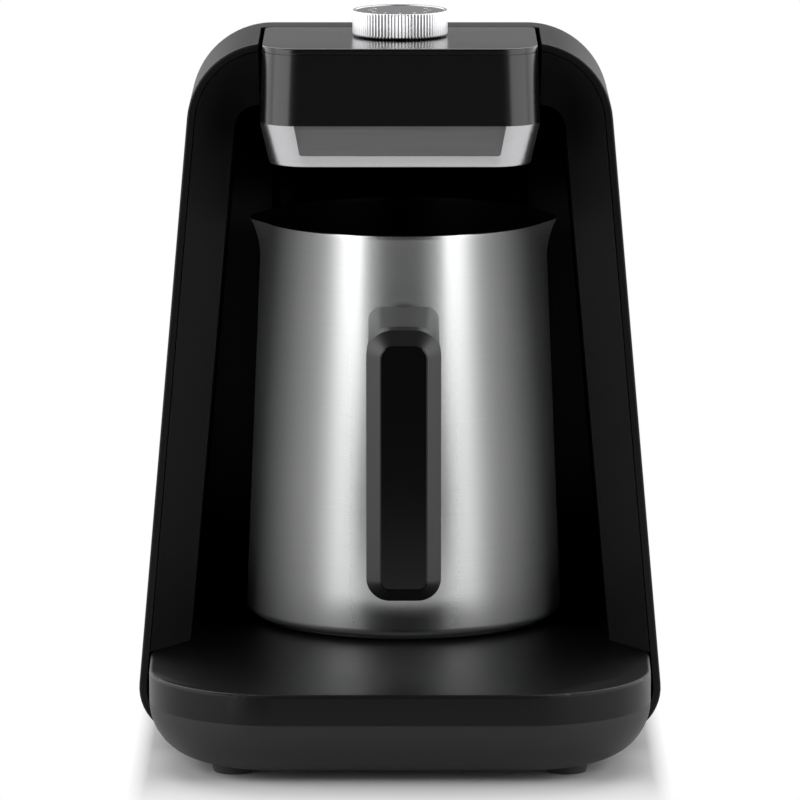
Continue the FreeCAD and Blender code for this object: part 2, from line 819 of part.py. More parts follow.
def make_knob(shaft_low):
    shelf = knob_top - knob_cap_thickness - knob_ledge
    bore = knob_cap_radius + running_gap
    ring = turned(0, knob_y, [(knob_radius - knob_wall, knob_bottom), (knob_radius, knob_bottom),
                              (knob_radius, knob_bottom + knob_foot), (knob_top_radius, knob_top - knob_edge),
                              (knob_top_radius - knob_edge, knob_top), (knob_cap_radius + knob_edge, knob_top),
                              (bore, knob_top - knob_edge), (bore, shelf), (knob_radius - knob_wall, shelf)])
    write("knob_ring", ring)
    floor = knob_top - knob_cap_recess - knob_cap_thickness
    deck = floor - 1.0
    foot = knob_bottom + knob_core_lift
    core = post(0, knob_y, floor - 1.5, floor - touch_gap, knob_cap_radius - joint_gap)
    core = core.fuse(turned(0, knob_y, [(shaft_radius, foot), (knob_hub_radius, foot), (knob_hub_radius, deck),
                                        (shaft_radius, deck)]))
    rim = knob_radius - knob_wall - touch_gap
    low_deck = floor - knob_skirt_wall
    core = core.fuse(turned(0, knob_y, [(rim - knob_skirt_wall, foot), (rim, foot), (rim, low_deck),
                                        (rim - knob_skirt_wall, low_deck)]))
    core = core.cut(post(0, knob_y, knob_bottom - 1, deck, shaft_radius + touch_gap))
    for i in range(knob_rib_count):
        rib = box(knob_hub_radius - 0.5, rim - 0.5, -knob_rib_half, knob_rib_half, foot + 0.8, low_deck)
        rib.rotate(V(0, 0, 0), V(0, 0, 1), 360 * i / knob_rib_count)
        core = core.fuse(rib.translated(V(0, knob_y, 0)))
    write("knob_core", core)
    cap = post(0, knob_y, floor, floor + knob_cap_thickness, knob_cap_radius)
    rim_edges = edges_where(cap, lambda b: b.ZMin > floor + knob_cap_thickness - 0.01)
    write("knob_cap", cap.makeFillet(0.3, rim_edges))
    write("knob_shaft", post(0, knob_y, shaft_low + touch_gap, deck - touch_gap, shaft_radius))


# Heating plate and what hangs under it
def bracket_level():
    return tray_top - plate_thickness - thermostat_height - bracket_thickness


def bracket_screw_places():
    return (-bracket_half + 4.0, bracket_half - 4.0)


def make_heater():
    under = tray_top - plate_thickness
    plate = post(0, pot_y, under, tray_top, plate_radius)
    plate = plate.makeFillet(0.5, edges_where(plate, lambda b: b.ZMin > tray_top - 0.01))
    write("heating_plate", plate)
    inner = plate_radius + running_gap
    outer = plate_radius + seal_width
    seal = turned(0, pot_y, [(inner - seal_lip, under - seal_foot), (outer, under - seal_foot), (outer, tray_top - 0.4),
                             (inner, tray_top - 0.4), (inner, under - touch_gap), (inner - seal_lip, under - touch_gap)])
    write("plate_seal", seal)
    ring_z = under - element_tube_radius - touch_gap
    element = Part.makeTorus(element_ring_radius, element_tube_radius, V(0, pot_y, ring_z), V(0, 0, 1),
                             -180, 180, element_sweep)
    turn = 90 + (360 - element_sweep) / 2
    element.rotate(V(0, pot_y, 0), V(0, 0, 1), turn)
    write("heater_element", element)
    low = bracket_level()
    bracket = round_box(-bracket_half, bracket_half, pot_y - bracket_width / 2, pot_y + bracket_width / 2,
                        low, low + bracket_thickness, 3.0)
    for x in bracket_screw_places():
        bracket = bracket.cut(post(x, pot_y, 0, 100, screw_radius + running_gap))
    write("heater_bracket", bracket)
    screws = []
    for x in bracket_screw_places():
        head = post(x, pot_y, low - screw_head_height, low, screw_head_radius)
        shank = post(x, pot_y, low, tray_top - base_wall - 2, screw_radius)
        reach = screw_head_radius - small_slot_end
        under_slot = low - screw_head_height + slot_depth
        slot = box(x - reach, x + reach, pot_y - slot_half_width, pot_y + slot_half_width, low - 3, under_slot)
        screws.append(head.fuse(shank).cut(slot))
    write("bracket_screws", Part.makeCompound(screws))
    write("thermostat", post(0, pot_y, low + bracket_thickness, under, thermostat_radius))
    fuse_y = pot_y - fuse_set
    fuse_z = under - fuse_radius - touch_gap
    write("thermal_fuse", rod_x(fuse_y, fuse_z, -fuse_length / 2, fuse_length / 2, fuse_radius))


# Pot: turned wall that opens into two pouring lips
def pot_radius(z):
    share = (z - tray_top) / (pot_rim_z - tray_top)
    return pot_bottom_radius + (pot_rim_radius - pot_bottom_radius) * share


def lip_outline(z, radius, reach):
    turn = math.acos(radius / (radius + reach))
    start = math.pi / 2
    edges = []
    for side in (0, 1):
        base = side * math.pi
        tip = radius + reach
        a = base - turn
        b = base + turn
        corner = V(tip * math.cos(base), tip * math.sin(base), 0)
        low = V(radius * math.cos(a), radius * math.sin(a), 0)
        high = V(radius * math.cos(b), radius * math.sin(b), 0)
        u = (low - corner).normalize()
        w = (high - corner).normalize()
        half = u.getAngle(w) / 2
        small = min(pot_spout_radius, 0.8 * (low - corner).Length * math.tan(half))
        run = small / math.tan(half)
        middle = (u + w).normalize()
        centre = corner + middle * (small / math.sin(half))
        nose = [corner + u * run, centre - middle * small, corner + w * run]
        edges.append(Part.LineSegment(low, nose[0]).toShape())
        edges.append(Part.Arc(*nose).toShape())
        edges.append(Part.LineSegment(nose[2], high).toShape())
        c = base + turn
        d = base + math.pi - turn
        far = V(radius * math.cos(d), radius * math.sin(d), 0)
        top = V(radius * math.cos((c + d) / 2), radius * math.sin((c + d) / 2), 0)
        edges.append(Part.Arc(high, top, far).toShape())
    wire = Part.Wire(edges)
    wire.translate(V(pot_side, pot_y, z))
    return wire


def pot_form(inset, low):
    bend_z = pot_rim_z - pot_flare_height
    wall = Part.makeCone(pot_radius(low) - inset, pot_radius(bend_z) - inset, bend_z - low,
                         V(pot_side, pot_y, low), V(0, 0, 1))
    full = pot_spout_reach - pot_rim_radius
    sections = []
    for share in (0.0, 0.25, 0.5, 0.75, 1.0):
        z = bend_z + share * pot_flare_height
        reach = 0.05 + (full - 0.05) * share ** 2
        sections.append(lip_outline(z, pot_radius(z) - inset, reach))
    return wall.fuse(Part.makeLoft(sections, True, False))


def make_pot():
    low = tray_top + pot_lift + pot_ring_height
    outer = pot_form(0, low)
    heel = edges_where(outer, lambda b: b.ZMax < low + 0.01)
    outer = outer.makeFillet(pot_heel_radius, heel)
    inner = pot_form(pot_wall, low + pot_floor)
    inner = inner.makeFillet(pot_heel_radius, edges_where(inner, lambda b: b.ZMax < low + pot_floor + 0.01))
    body = outer.cut(inner)
    write("pot_body", body)
    bottom = tray_top + pot_lift
    ring = turned(pot_side, pot_y, [(pot_ring_inner, bottom), (pot_ring_radius - 0.6, bottom),
                                    (pot_ring_radius, bottom + 0.6), (pot_ring_radius, low - touch_gap),
                                    (pot_ring_inner, low - touch_gap)])
    write("pot_base_ring", ring)
    disc = post(pot_side, pot_y, bottom + touch_gap, low - touch_gap, pot_ring_inner - 0.1)
    write("pot_base_disc", disc)


# Cone that follows the pot's wall at a distance
def pot_cone(gap):
    return Part.makeCone(pot_radius(tray_top) + gap, pot_radius(pot_rim_z) + gap, pot_rim_z - tray_top,
                         V(0, pot_y, tray_top), V(0, 0, 1))


def grip_outline(y, inset):
    half = handle_half
    points = [(-half, handle_bottom), (half, handle_bottom), (half, handle_top), (-half, handle_top)]
    radii = [handle_foot_radius, handle_foot_radius, handle_crown_radius, handle_crown_radius]
    return outline(facing(y), points, radii, inset)


# Grip with a slanted frame all round its front face
def grip_form():
    front = pot_y - handle_front_reach
    back = pot_y - handle_back_reach
    step = front + handle_bevel_depth
    nose = Part.makeLoft([grip_outline(front, handle_bevel), grip_outline(step, 0)], True, True)
    body = prism(grip_outline(step, 0), V(0, back - step, 0))
    rear = edges_where(body, lambda b: b.YMin > back - 0.01)
    return body.makeFillet(handle_back_radius, rear).fuse(nose)


def insert_form(inset):
    front = pot_y - handle_front_reach
    return prism(grip_outline(front - 1, handle_bevel - insert_lap + inset), V(0, 1 + insert_depth, 0))


def bridge_form():
    front = pot_y - handle_front_reach + bridge_front_set
    back = pot_y - pot_rim_radius / 2
    points = [(front, bridge_bottom), (back, bridge_bottom), (back, bridge_top), (front, handle_top - 2.0)]
    bridge = prism(outline(sideways(-bridge_half), points, [0, 0, 0, 0]), V(2 * bridge_half, 0, 0))
    middle = (bridge_bottom + bridge_top) / 2
    high_edges = edges_where(bridge, lambda b: b.YLength > 20 and b.XLength < 1 and b.ZMin > middle)
    bridge = bridge.makeFillet(bridge_crown, high_edges)
    low_edges = edges_where(bridge, lambda b: b.YLength > 20 and b.XLength < 1 and b.ZMax < middle)
    return bridge.makeFillet(bridge_edge, low_edges).cut(pot_cone(joint_gap))


# Handle: welded tab with a stud, bridge, grip, glossy strip and the screw that holds them
def make_handle():
    form = grip_form()
    bridge = bridge_form()
    level = bridge_bottom + handle_screw_rise
    tab_front = pot_y - pot_radius(level) - joint_gap
    tab = box(-mount_half, mount_half, tab_front - 5, tab_front + 15, bridge_bottom + mount_margin,
              bridge_top - mount_margin)
    tab = tab.common(pot_cone(mount_thickness)).cut(pot_cone(touch_gap))
    stud = rod_y(0, level, tab_front - stud_length, tab_front, stud_radius).cut(pot_cone(touch_gap))
    half = mount_half + mount_fit
    margin = mount_margin - mount_fit
    hollow = box(-half, half, tab_front - 5, tab_front + 15, bridge_bottom + margin, bridge_top - margin)
    hollow = hollow.common(pot_cone(mount_thickness + mount_fit))
    hollow = hollow.fuse(rod_y(0, level, tab_front - stud_length - joint_gap, tab_front, stud_radius + running_gap))
    seat = pot_y - handle_front_reach + insert_depth + 1
    shoulder = seat + handle_screw_head_height
    screw = rod_y(0, level, seat, shoulder, handle_screw_head)
    tip = tab_front - stud_length - joint_gap
    screw = screw.fuse(rod_y(0, level, shoulder, tip, handle_screw_radius))
    hole = rod_y(0, level, seat - 3, shoulder, handle_screw_head + running_gap)
    hole = hole.fuse(rod_y(0, level, seat, tip + 1, handle_screw_radius + running_gap))
    shift = V(pot_side, 0, 0)
    write("handle_grip", form.cut(insert_form(0)).cut(bridge).cut(hole).translated(shift))
    write("handle_insert", form.common(insert_form(insert_fit)).translated(shift))
    write("handle_bridge", bridge.cut(hollow).cut(hole).translated(shift))
    write("handle_mount", tab.fuse(stud).translated(shift))
    write("handle_screw", screw.translated(shift))


# Power board behind the bay, its parts, and the wiring
def power_post_places():
    inset = power_post_radius + 0.6
    xs = (-power_half + inset, power_half - inset)
    zs = (power_low + inset, power_high - inset)
    return [(x, z) for x in xs for z in zs]


def terminal_x(i):
    return terminal_centre + (i - 1) * terminal_pitch


def make_power():
    back = power_y + board_thickness
    board = box(-power_half, power_half, power_y, back, power_low, power_high)
    for x, z in power_post_places():
        board = board.cut(rod_y(x, z, power_y - 1, back + 1, screw_radius + running_gap))
    write("power_board", board)
    screws = []
    for x, z in power_post_places():
        high = back + screw_head_height
        head = rod_y(x, z, back, high, screw_head_radius)
        shank = rod_y(x, z, power_y - board_screw_length, back, screw_radius)
        reach = screw_head_radius - small_slot_end
        slot = box(x - reach, x + reach, high - slot_depth, high + 1, z - slot_half_width, z + slot_half_width)
        screws.append(head.fuse(shank).cut(slot))
    write("power_board_screws", Part.makeCompound(screws))
    x, z = relay_place
    sx, sy, sz = relay_size
    write("relay", round_box(x, x + sx, back, back + sy, z, z + sz, 0.5))
    x, z = transformer_place
    sx, sy, sz = transformer_size
    core = box(x, x + sx, back, back + sy, z, z + sz)
    side = transformer_coil_side
    end = transformer_coil_end
    coil = round_box(x + side, x + sx - side, back, back + sy, z - end, z + sz + end, 3.0)
    write("transformer", core.fuse(coil))
    sx, sy, sz = terminal_size
    block = box(terminal_centre - sx / 2, terminal_centre + sx / 2, back, back + sy, terminal_low, terminal_low + sz)
    for i in range(3):
        hole = rod_y(terminal_x(i), terminal_low + sz / 2, back + 4, back + sy + 1, terminal_hole_radius)
        block = block.cut(hole)
    write("terminal_block", block)


def make_gland():
    outside = depth / 2
    body = rod_y(gland_x, gland_z, shell_back - gland_length, outside, gland_body_radius)
    flange = rod_y(gland_x, gland_z, shell_back, outside, gland_flange_radius)
    gland = body.fuse(flange)
    rim = edges_where(gland, lambda b: b.YMin > outside - 0.01 and b.XLength > 2 * gland_flange_radius - 0.1)
    gland = gland.makeFillet(0.6, rim)
    gland = gland.cut(rod_y(gland_x, gland_z, shell_back - gland_length - 1, outside + 1, gland_bore))
    write("cord_gland", gland)
    seat = shell_back - shell_wall - touch_gap
    nut = Part.Face(Part.makePolygon(hexagon(gland_x, gland_z, seat, gland_nut_radius))).extrude(
        V(0, -gland_nut_thickness, 0))
    nut = nut.cut(rod_y(gland_x, gland_z, seat - 10, seat + 1, gland_body_radius + running_gap))
    write("gland_nut", nut)


def hexagon(x, z, y, radius):
    points = []
    for i in range(7):
        angle = math.radians(60 * i)
        points.append(V(x + radius * math.cos(angle), y, z + radius * math.sin(angle)))
    return points


def ribbon_level():
    return board_z + board_thickness + ribbon_rise


def make_wiring():
    back = power_y + board_thickness
    mains = []
    for i in (0, 1):
        x = gland_x + lead_spacing * (i - 0.5)
        screw_x = terminal_x(i)
        y = back + terminal_size[1] - 3.5
        start = shell_back - gland_length - joint_gap
        points = [V(x, start, gland_z), V(x, y, gland_z), V(screw_x, y, gland_z + 10),
                  V(screw_x, y, terminal_low - touch_gap)]
        mains.append(lead(points, lead_radius, lead_bend))
    write("mains_leads", Part.makeCompound(mains))
    half_gap = math.radians((360 - element_sweep) / 2)
    ring_z = tray_top - plate_thickness - element_tube_radius - touch_gap
    end = V(element_ring_radius * math.sin(half_gap), pot_y + element_ring_radius * math.cos(half_gap), ring_z)
    along = V(-math.cos(half_gap), math.sin(half_gap), 0)
    start = end + along * touch_gap
    turn = end + along * heater_lead_straight
    board_y = power_y - lead_radius - lead_side_gap
    points = [start, turn, V(turn.x, board_y, ring_z - 5), V(turn.x, board_y, power_low + 6)]
    right = lead(points, lead_radius, lead_bend)
    write("heater_leads", Part.makeCompound([right, mirrored(right)]))
    level = ribbon_level()
    lead_out = board_back - 5.0
    low_end = (ribbon_bends[-1][0], power_high - 4)
    path = [(lead_out, level - 2), (lead_out, level), (ribbon_turn_y, level), *ribbon_bends, low_end]
    write("ribbon_cable", ribbon(path))


# Flat cable of even thickness along a folded path in the middle plane
def ribbon(path):
    upper = []
    for i, point in enumerate(path):
        before = path[max(i - 1, 0)]
        after = path[min(i + 1, len(path) - 1)]
        a = (point[0] - before[0], point[1] - before[1]) if i > 0 else (after[0] - point[0], after[1] - point[1])
        b = (after[0] - point[0], after[1] - point[1]) if i < len(path) - 1 else a
        la = math.hypot(*a)
        lb = math.hypot(*b)
        na = (-a[1] / la, a[0] / la)
        nb = (-b[1] / lb, b[0] / lb)
        share = ribbon_thickness / (1 + na[0] * nb[0] + na[1] * nb[1])
        upper.append((point[0] + share * (na[0] + nb[0]), point[1] + share * (na[1] + nb[1])))
    corners = [V(-ribbon_half, y, z) for y, z in path + upper[::-1]]
    wire = Part.makePolygon(corners + corners[:1])
    return Part.Face(wire).extrude(V(2 * ribbon_half, 0, 0))


def main():
    os.makedirs("parts", exist_ok=True)
    make_base_tray()
    make_bottom_cover()
    make_base_screws()
    make_feet()
    make_heater()
    make_rear_shell()
    make_rear_screws()
    make_bezels()
    make_bay_liner()
    make_head_shell()
    make_head_cover()
    make_chrome_band()
    make_head_base()
    make_head_screws()
    make_sensor()
    shaft_low = make_control()
    make_knob(shaft_low)
    make_pot()
    make_handle()
    make_power()
    make_gland()
    make_wiring()


main()
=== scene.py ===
import json
import math

import bmesh
import bpy
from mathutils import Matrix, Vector

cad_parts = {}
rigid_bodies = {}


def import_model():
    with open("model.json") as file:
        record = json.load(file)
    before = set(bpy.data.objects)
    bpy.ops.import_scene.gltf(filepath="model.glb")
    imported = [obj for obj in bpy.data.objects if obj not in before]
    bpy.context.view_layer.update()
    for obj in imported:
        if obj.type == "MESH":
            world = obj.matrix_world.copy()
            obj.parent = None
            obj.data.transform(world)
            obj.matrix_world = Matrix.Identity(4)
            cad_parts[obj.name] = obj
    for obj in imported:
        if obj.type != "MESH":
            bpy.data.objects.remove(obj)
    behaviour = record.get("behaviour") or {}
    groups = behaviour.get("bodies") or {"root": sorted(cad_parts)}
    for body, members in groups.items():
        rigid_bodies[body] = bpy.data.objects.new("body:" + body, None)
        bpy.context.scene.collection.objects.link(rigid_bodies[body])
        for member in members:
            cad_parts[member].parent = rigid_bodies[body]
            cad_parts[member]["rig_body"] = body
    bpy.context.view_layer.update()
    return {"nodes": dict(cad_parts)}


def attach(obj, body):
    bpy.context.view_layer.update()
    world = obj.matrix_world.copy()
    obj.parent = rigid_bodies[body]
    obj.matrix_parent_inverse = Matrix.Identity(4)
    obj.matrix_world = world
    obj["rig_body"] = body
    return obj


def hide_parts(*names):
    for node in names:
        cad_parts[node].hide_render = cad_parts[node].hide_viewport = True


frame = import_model()
print("stage: frame loaded")


def mm(value):
    return value / 1000.0


# shader groups are built once and shared by the materials
def newGroup(name, inputs, outputs):
    group = bpy.data.node_groups.new(name, "ShaderNodeTree")
    for label, value in inputs:
        socket = group.interface.new_socket(label, in_out="INPUT", socket_type="NodeSocketFloat")
        socket.default_value = value
    for label, kind in outputs:
        group.interface.new_socket(label, in_out="OUTPUT", socket_type=kind)
    inside = group.nodes.new("NodeGroupInput")
    outside = group.nodes.new("NodeGroupOutput")
    return group, inside, outside


def addNode(tree, kind, x=0, y=0, **settings):
    node = tree.nodes.new(kind)
    node.location = (x, y)
    for key, value in settings.items():
        setattr(node, key, value)
    return node


def mathNode(tree, operation, first, second=None, third=None, clamp=False):
    node = tree.nodes.new("ShaderNodeMath")
    node.operation = operation
    node.use_clamp = clamp
    for i, item in enumerate((first, second, third)):
        if item is None:
            continue
        if isinstance(item, (int, float)):
            node.inputs[i].default_value = item
        else:
            tree.links.new(item, node.inputs[i])
    return node.outputs[0]


def rangeNode(tree, value, low, high, toLow, toHigh):
    node = tree.nodes.new("ShaderNodeMapRange")
    for i, item in enumerate((value, low, high, toLow, toHigh)):
        if isinstance(item, (int, float)):
            node.inputs[i].default_value = item
        else:
            tree.links.new(item, node.inputs[i])
    return node.outputs[0]


grainValues = {"grainDetail": 2.0, "cloudDetail": 4.0, "cloudScale": 22.0, "speck": 0.04}


# moulded plastic: fine spark texture and a soft cloudiness in its gloss
def buildMouldedGrain():
    v = grainValues
    group, inside, outside = newGroup(
        "mouldedGrain",
        [("Grain Scale", 900.0), ("Roughness", 0.4), ("Spread", 0.08), ("Cloud Scale", v["cloudScale"])],
        [("Roughness", "NodeSocketFloat"), ("Height", "NodeSocketFloat"), ("Shade", "NodeSocketFloat")])
    coords = addNode(group, "ShaderNodeTexCoord")
    grain = addNode(group, "ShaderNodeTexNoise")
    grain.inputs["Detail"].default_value = v["grainDetail"]
    group.links.new(coords.outputs["Object"], grain.inputs["Vector"])
    group.links.new(inside.outputs["Grain Scale"], grain.inputs["Scale"])
    cloud = addNode(group, "ShaderNodeTexNoise")
    cloud.inputs["Detail"].default_value = v["cloudDetail"]
    group.links.new(coords.outputs["Object"], cloud.inputs["Vector"])
    group.links.new(inside.outputs["Cloud Scale"], cloud.inputs["Scale"])
    swing = mathNode(group, "SUBTRACT", cloud.outputs["Fac"], 0.5)
    swing = mathNode(group, "MULTIPLY", swing, inside.outputs["Spread"])
    speck = mathNode(group, "SUBTRACT", grain.outputs["Fac"], 0.5)
    speck = mathNode(group, "MULTIPLY", speck, v["speck"])
    rough = mathNode(group, "ADD", inside.outputs["Roughness"], swing)
    rough = mathNode(group, "ADD", rough, speck, clamp=True)
    shade = mathNode(group, "MULTIPLY", cloud.outputs["Fac"], 0.5)
    shade = mathNode(group, "MULTIPLY_ADD", grain.outputs["Fac"], 0.5, shade)
    group.links.new(rough, outside.inputs["Roughness"])
    group.links.new(grain.outputs["Fac"], outside.inputs["Height"])
    group.links.new(shade, outside.inputs["Shade"])
    return group


streakValues = {"detail": 5.0, "roughness": 0.7}


# brushed metal: streaks along the way the belt ran, from a stretched noise
def buildBrushStreaks():
    group, inside, outside = newGroup(
        "brushStreaks",
        [("Across X", 1.0), ("Across Y", 1.0), ("Across Z", 1.0), ("Roughness", 0.3), ("Spread", 0.12)],
        [("Roughness", "NodeSocketFloat"), ("Height", "NodeSocketFloat"), ("Shade", "NodeSocketFloat")])
    coords = addNode(group, "ShaderNodeTexCoord")
    scale = addNode(group, "ShaderNodeCombineXYZ")
    for axis in "XYZ":
        group.links.new(inside.outputs["Across " + axis], scale.inputs[axis])
    stretch = addNode(group, "ShaderNodeVectorMath", operation="MULTIPLY")
    group.links.new(coords.outputs["Object"], stretch.inputs[0])
    group.links.new(scale.outputs[0], stretch.inputs[1])
    fine = addNode(group, "ShaderNodeTexNoise")
    fine.inputs["Scale"].default_value = 1.0
    fine.inputs["Detail"].default_value = streakValues["detail"]
    fine.inputs["Roughness"].default_value = streakValues["roughness"]
    group.links.new(stretch.outputs[0], fine.inputs["Vector"])
    swing = mathNode(group, "SUBTRACT", fine.outputs["Fac"], 0.5)
    swing = mathNode(group, "MULTIPLY", swing, inside.outputs["Spread"])
    rough = mathNode(group, "ADD", inside.outputs["Roughness"], swing, clamp=True)
    group.links.new(rough, outside.inputs["Roughness"])
    group.links.new(fine.outputs["Fac"], outside.inputs["Height"])
    group.links.new(fine.outputs["Fac"], outside.inputs["Shade"])
    return group


mouldedGrain = buildMouldedGrain()
brushStreaks = buildBrushStreaks()
print("stage: shader groups built")


def newMaterial(name):
    material = bpy.data.materials.new(name)
    material.use_nodes = True
    tree = material.node_tree
    return material, tree, tree.nodes["Principled BSDF"]


def shadeBetween(tree, shader, factor, dark, light):
    ramp = addNode(tree, "ShaderNodeMix", -300, 200, data_type="RGBA")
    ramp.inputs["A"].default_value = (*dark, 1.0)
    ramp.inputs["B"].default_value = (*light, 1.0)
    tree.links.new(factor, ramp.inputs["Factor"])
    tree.links.new(ramp.outputs["Result"], shader.inputs["Base Color"])


def bumpFrom(tree, shader, height, distance):
    bump = addNode(tree, "ShaderNodeBump", -300, -200)
    bump.inputs["Distance"].default_value = distance
    bump.inputs["Strength"].default_value = 1.0
    tree.links.new(height, bump.inputs["Height"])
    tree.links.new(bump.outputs["Normal"], shader.inputs["Normal"])


# depth is the height of the grain in mm, level the strength of the plain reflection
def moulded(name, dark, light, rough, spread=0.08, grain=900.0, depth=0.004, metal=0.0, level=0.5):
    material, tree, shader = newMaterial(name)
    group = addNode(tree, "ShaderNodeGroup", -600, 0, node_tree=mouldedGrain)
    group.inputs["Grain Scale"].default_value = grain
    group.inputs["Roughness"].default_value = rough
    group.inputs["Spread"].default_value = spread
    shader.inputs["Metallic"].default_value = metal
    shader.inputs["Specular IOR Level"].default_value = level
    tree.links.new(group.outputs["Roughness"], shader.inputs["Roughness"])
    shadeBetween(tree, shader, group.outputs["Shade"], dark, light)
    bumpFrom(tree, shader, group.outputs["Height"], mm(depth))
    return material


sideValues = {"from": 0.05, "to": 0.24}  # how far a face turns away before edgeRough sets in, and is full


# across is how close the streaks lie along X, Y and Z; turnAxis is the axis that a turned piece was brushed round,
# and stretch how far its highlights run round it; edgeRough is how much rougher it looks at its turned-away sides
def brushed(name, dark, light, across, rough, spread=0.12, depth=0.003, turnAxis=None, stretch=0.0, edgeRough=0.0):
    material, tree, shader = newMaterial(name)
    group = addNode(tree, "ShaderNodeGroup", -600, 0, node_tree=brushStreaks)
    for axis, value in zip("XYZ", across):
        group.inputs["Across " + axis].default_value = value
    group.inputs["Roughness"].default_value = rough
    group.inputs["Spread"].default_value = spread
    shader.inputs["Metallic"].default_value = 1.0
    shader.inputs["Anisotropic"].default_value = stretch
    gloss = group.outputs["Roughness"]
    if edgeRough:
        side = addNode(tree, "ShaderNodeLayerWeight", -700, -500)
        more = rangeNode(tree, side.outputs["Facing"], sideValues["from"], sideValues["to"], 0.0, edgeRough)
        gloss = mathNode(tree, "ADD", gloss, more)
    tree.links.new(gloss, shader.inputs["Roughness"])
    shadeBetween(tree, shader, group.outputs["Shade"], dark, light)
    bumpFrom(tree, shader, group.outputs["Height"], mm(depth))
    if turnAxis:
        turn = addNode(tree, "ShaderNodeTangent", -300, -400, direction_type="RADIAL", axis=turnAxis)
        tree.links.new(turn.outputs[0], shader.inputs["Tangent"])
    return material


satinBlack = moulded(
    "satinBlackPlastic", dark=(0.002, 0.002, 0.0022), light=(0.0038, 0.0038, 0.004), rough=0.40, grain=1300.0,
    depth=0.006, level=0.17)
# the turned-under base: its coarser finish is the base's own, its lighter colour is painted light reflected from the
# bright floor
heelFloorLitBlack = moulded(
    "heelFloorLitPlastic", dark=(0.008, 0.008, 0.008), light=(0.012, 0.012, 0.0123), rough=0.55, spread=0.1,
    grain=1100.0, depth=0.008, level=0.3)
bezelBlack = moulded(
    "bezelBlackPlastic", dark=(0.008, 0.008, 0.0082), light=(0.012, 0.012, 0.0123), rough=0.40, grain=1300.0,
    depth=0.006, level=0.05)
# a darker copy of the black plastic for the enclosed bay and the head's underside: painted shade where the bay lies
# in shadow
bayShadedBlack = moulded(
    "bayPaintedShadePlastic", dark=(0.001, 0.001, 0.001), light=(0.0018, 0.0018, 0.0019), rough=0.38, grain=1300.0,
    depth=0.006, level=0.2)
underBlack = moulded(
    "underBlackPlastic", dark=(0.014, 0.014, 0.015), light=(0.024, 0.024, 0.025), rough=0.6, spread=0.1,
    depth=0.02)
glossBlack = moulded(
    "glossBlackPlastic", dark=(0.001, 0.001, 0.0011), light=(0.0016, 0.0016, 0.0017), rough=0.22, spread=0.05,
    grain=500.0, depth=0.0006)
knobFace = moulded(
    "knobFaceGrey", dark=(0.055, 0.055, 0.058), light=(0.085, 0.085, 0.09), rough=0.38, grain=1500.0)
markWhite = moulded(
    "dialMarkPaint", dark=(0.62, 0.62, 0.62), light=(0.74, 0.74, 0.74), rough=0.5, spread=0.05, grain=1500.0,
    depth=0.002)
innerPlastic = moulded(
    "innerPlastic", dark=(0.03, 0.03, 0.03), light=(0.06, 0.06, 0.06), rough=0.5, spread=0.1)
rubberBlack = moulded(
    "rubberBlack", dark=(0.012, 0.012, 0.012), light=(0.026, 0.026, 0.026), rough=0.75, spread=0.1, grain=700.0,
    depth=0.02)
siliconeBlack = moulded(
    "siliconeBlack", dark=(0.010, 0.010, 0.010), light=(0.018, 0.018, 0.018), rough=0.55, grain=700.0, depth=0.01)
glandNylon = moulded(
    "glandNylon", dark=(0.012, 0.012, 0.012), light=(0.022, 0.022, 0.022), rough=0.45)
screwZinc = moulded(
    "screwZinc", dark=(0.42, 0.42, 0.42), light=(0.58, 0.58, 0.57), rough=0.32, spread=0.12, grain=600.0,
    metal=1.0)
screwBlack = moulded(
    "screwBlackOxide", dark=(0.025, 0.025, 0.026), light=(0.05, 0.05, 0.052), rough=0.4, spread=0.12, grain=600.0,
    metal=0.6)
transformerIron = moulded(
    "transformerIron", dark=(0.06, 0.06, 0.065), light=(0.14, 0.13, 0.12), rough=0.55, spread=0.1)
wireInsulation = moulded(
    "wireInsulation", dark=(0.26, 0.26, 0.27), light=(0.38, 0.38, 0.39), rough=0.5)
handleSatin = moulded(
    "handleSatinGrey", dark=(0.006, 0.006, 0.0064), light=(0.010, 0.010, 0.0105), rough=0.38, spread=0.07,
    grain=1300.0)
handleGloss = moulded(
    "handleGlossBlack", dark=(0.0018, 0.0018, 0.0019), light=(0.003, 0.003, 0.0032), rough=0.18, spread=0.05,
    grain=500.0, depth=0.001, level=0.22)
# the handle's top bridge in a lighter grey than the grip: painted light falling on it from above
bridgeTopLitSatin = moulded(
    "bridgeTopLitGrey", dark=(0.055, 0.055, 0.057), light=(0.080, 0.080, 0.083), rough=0.34, grain=1300.0)
potCoating = moulded(
    "potBlackCoating", dark=(0.0035, 0.0035, 0.0035), light=(0.006, 0.006, 0.0061), rough=0.45, spread=0.1,
    grain=420.0, depth=0.012, level=0.3)
potSteel = brushed(
    "potRoundBrushedSteel", dark=(0.52, 0.53, 0.525), light=(0.64, 0.65, 0.645), across=(6.0, 6.0, 2600.0),
    rough=0.22, spread=0.08, depth=0.0012, turnAxis="Z", stretch=0.6, edgeRough=0.44)
potRimSteel = brushed(
    "potPolishedRim", dark=(0.40, 0.40, 0.40), light=(0.50, 0.50, 0.50), across=(40.0, 40.0, 900.0), rough=0.22,
    spread=0.08, depth=0.0005)
satinChrome = brushed(
    "satinChromeBand", dark=(0.46, 0.46, 0.47), light=(0.53, 0.53, 0.54), across=(500.0, 500.0, 500.0), rough=0.26,
    spread=0.06, depth=0.0006)
plateChrome = brushed(
    "brushedChromePlate", dark=(0.50, 0.50, 0.51), light=(0.60, 0.60, 0.61), across=(30.0, 900.0, 1500.0),
    rough=0.34, spread=0.1, depth=0.001)
knobMetal = brushed(
    "knobBrightMetal", dark=(0.52, 0.52, 0.53), light=(0.62, 0.62, 0.63), across=(700.0, 700.0, 60.0), rough=0.28,
    spread=0.06, depth=0.0006)
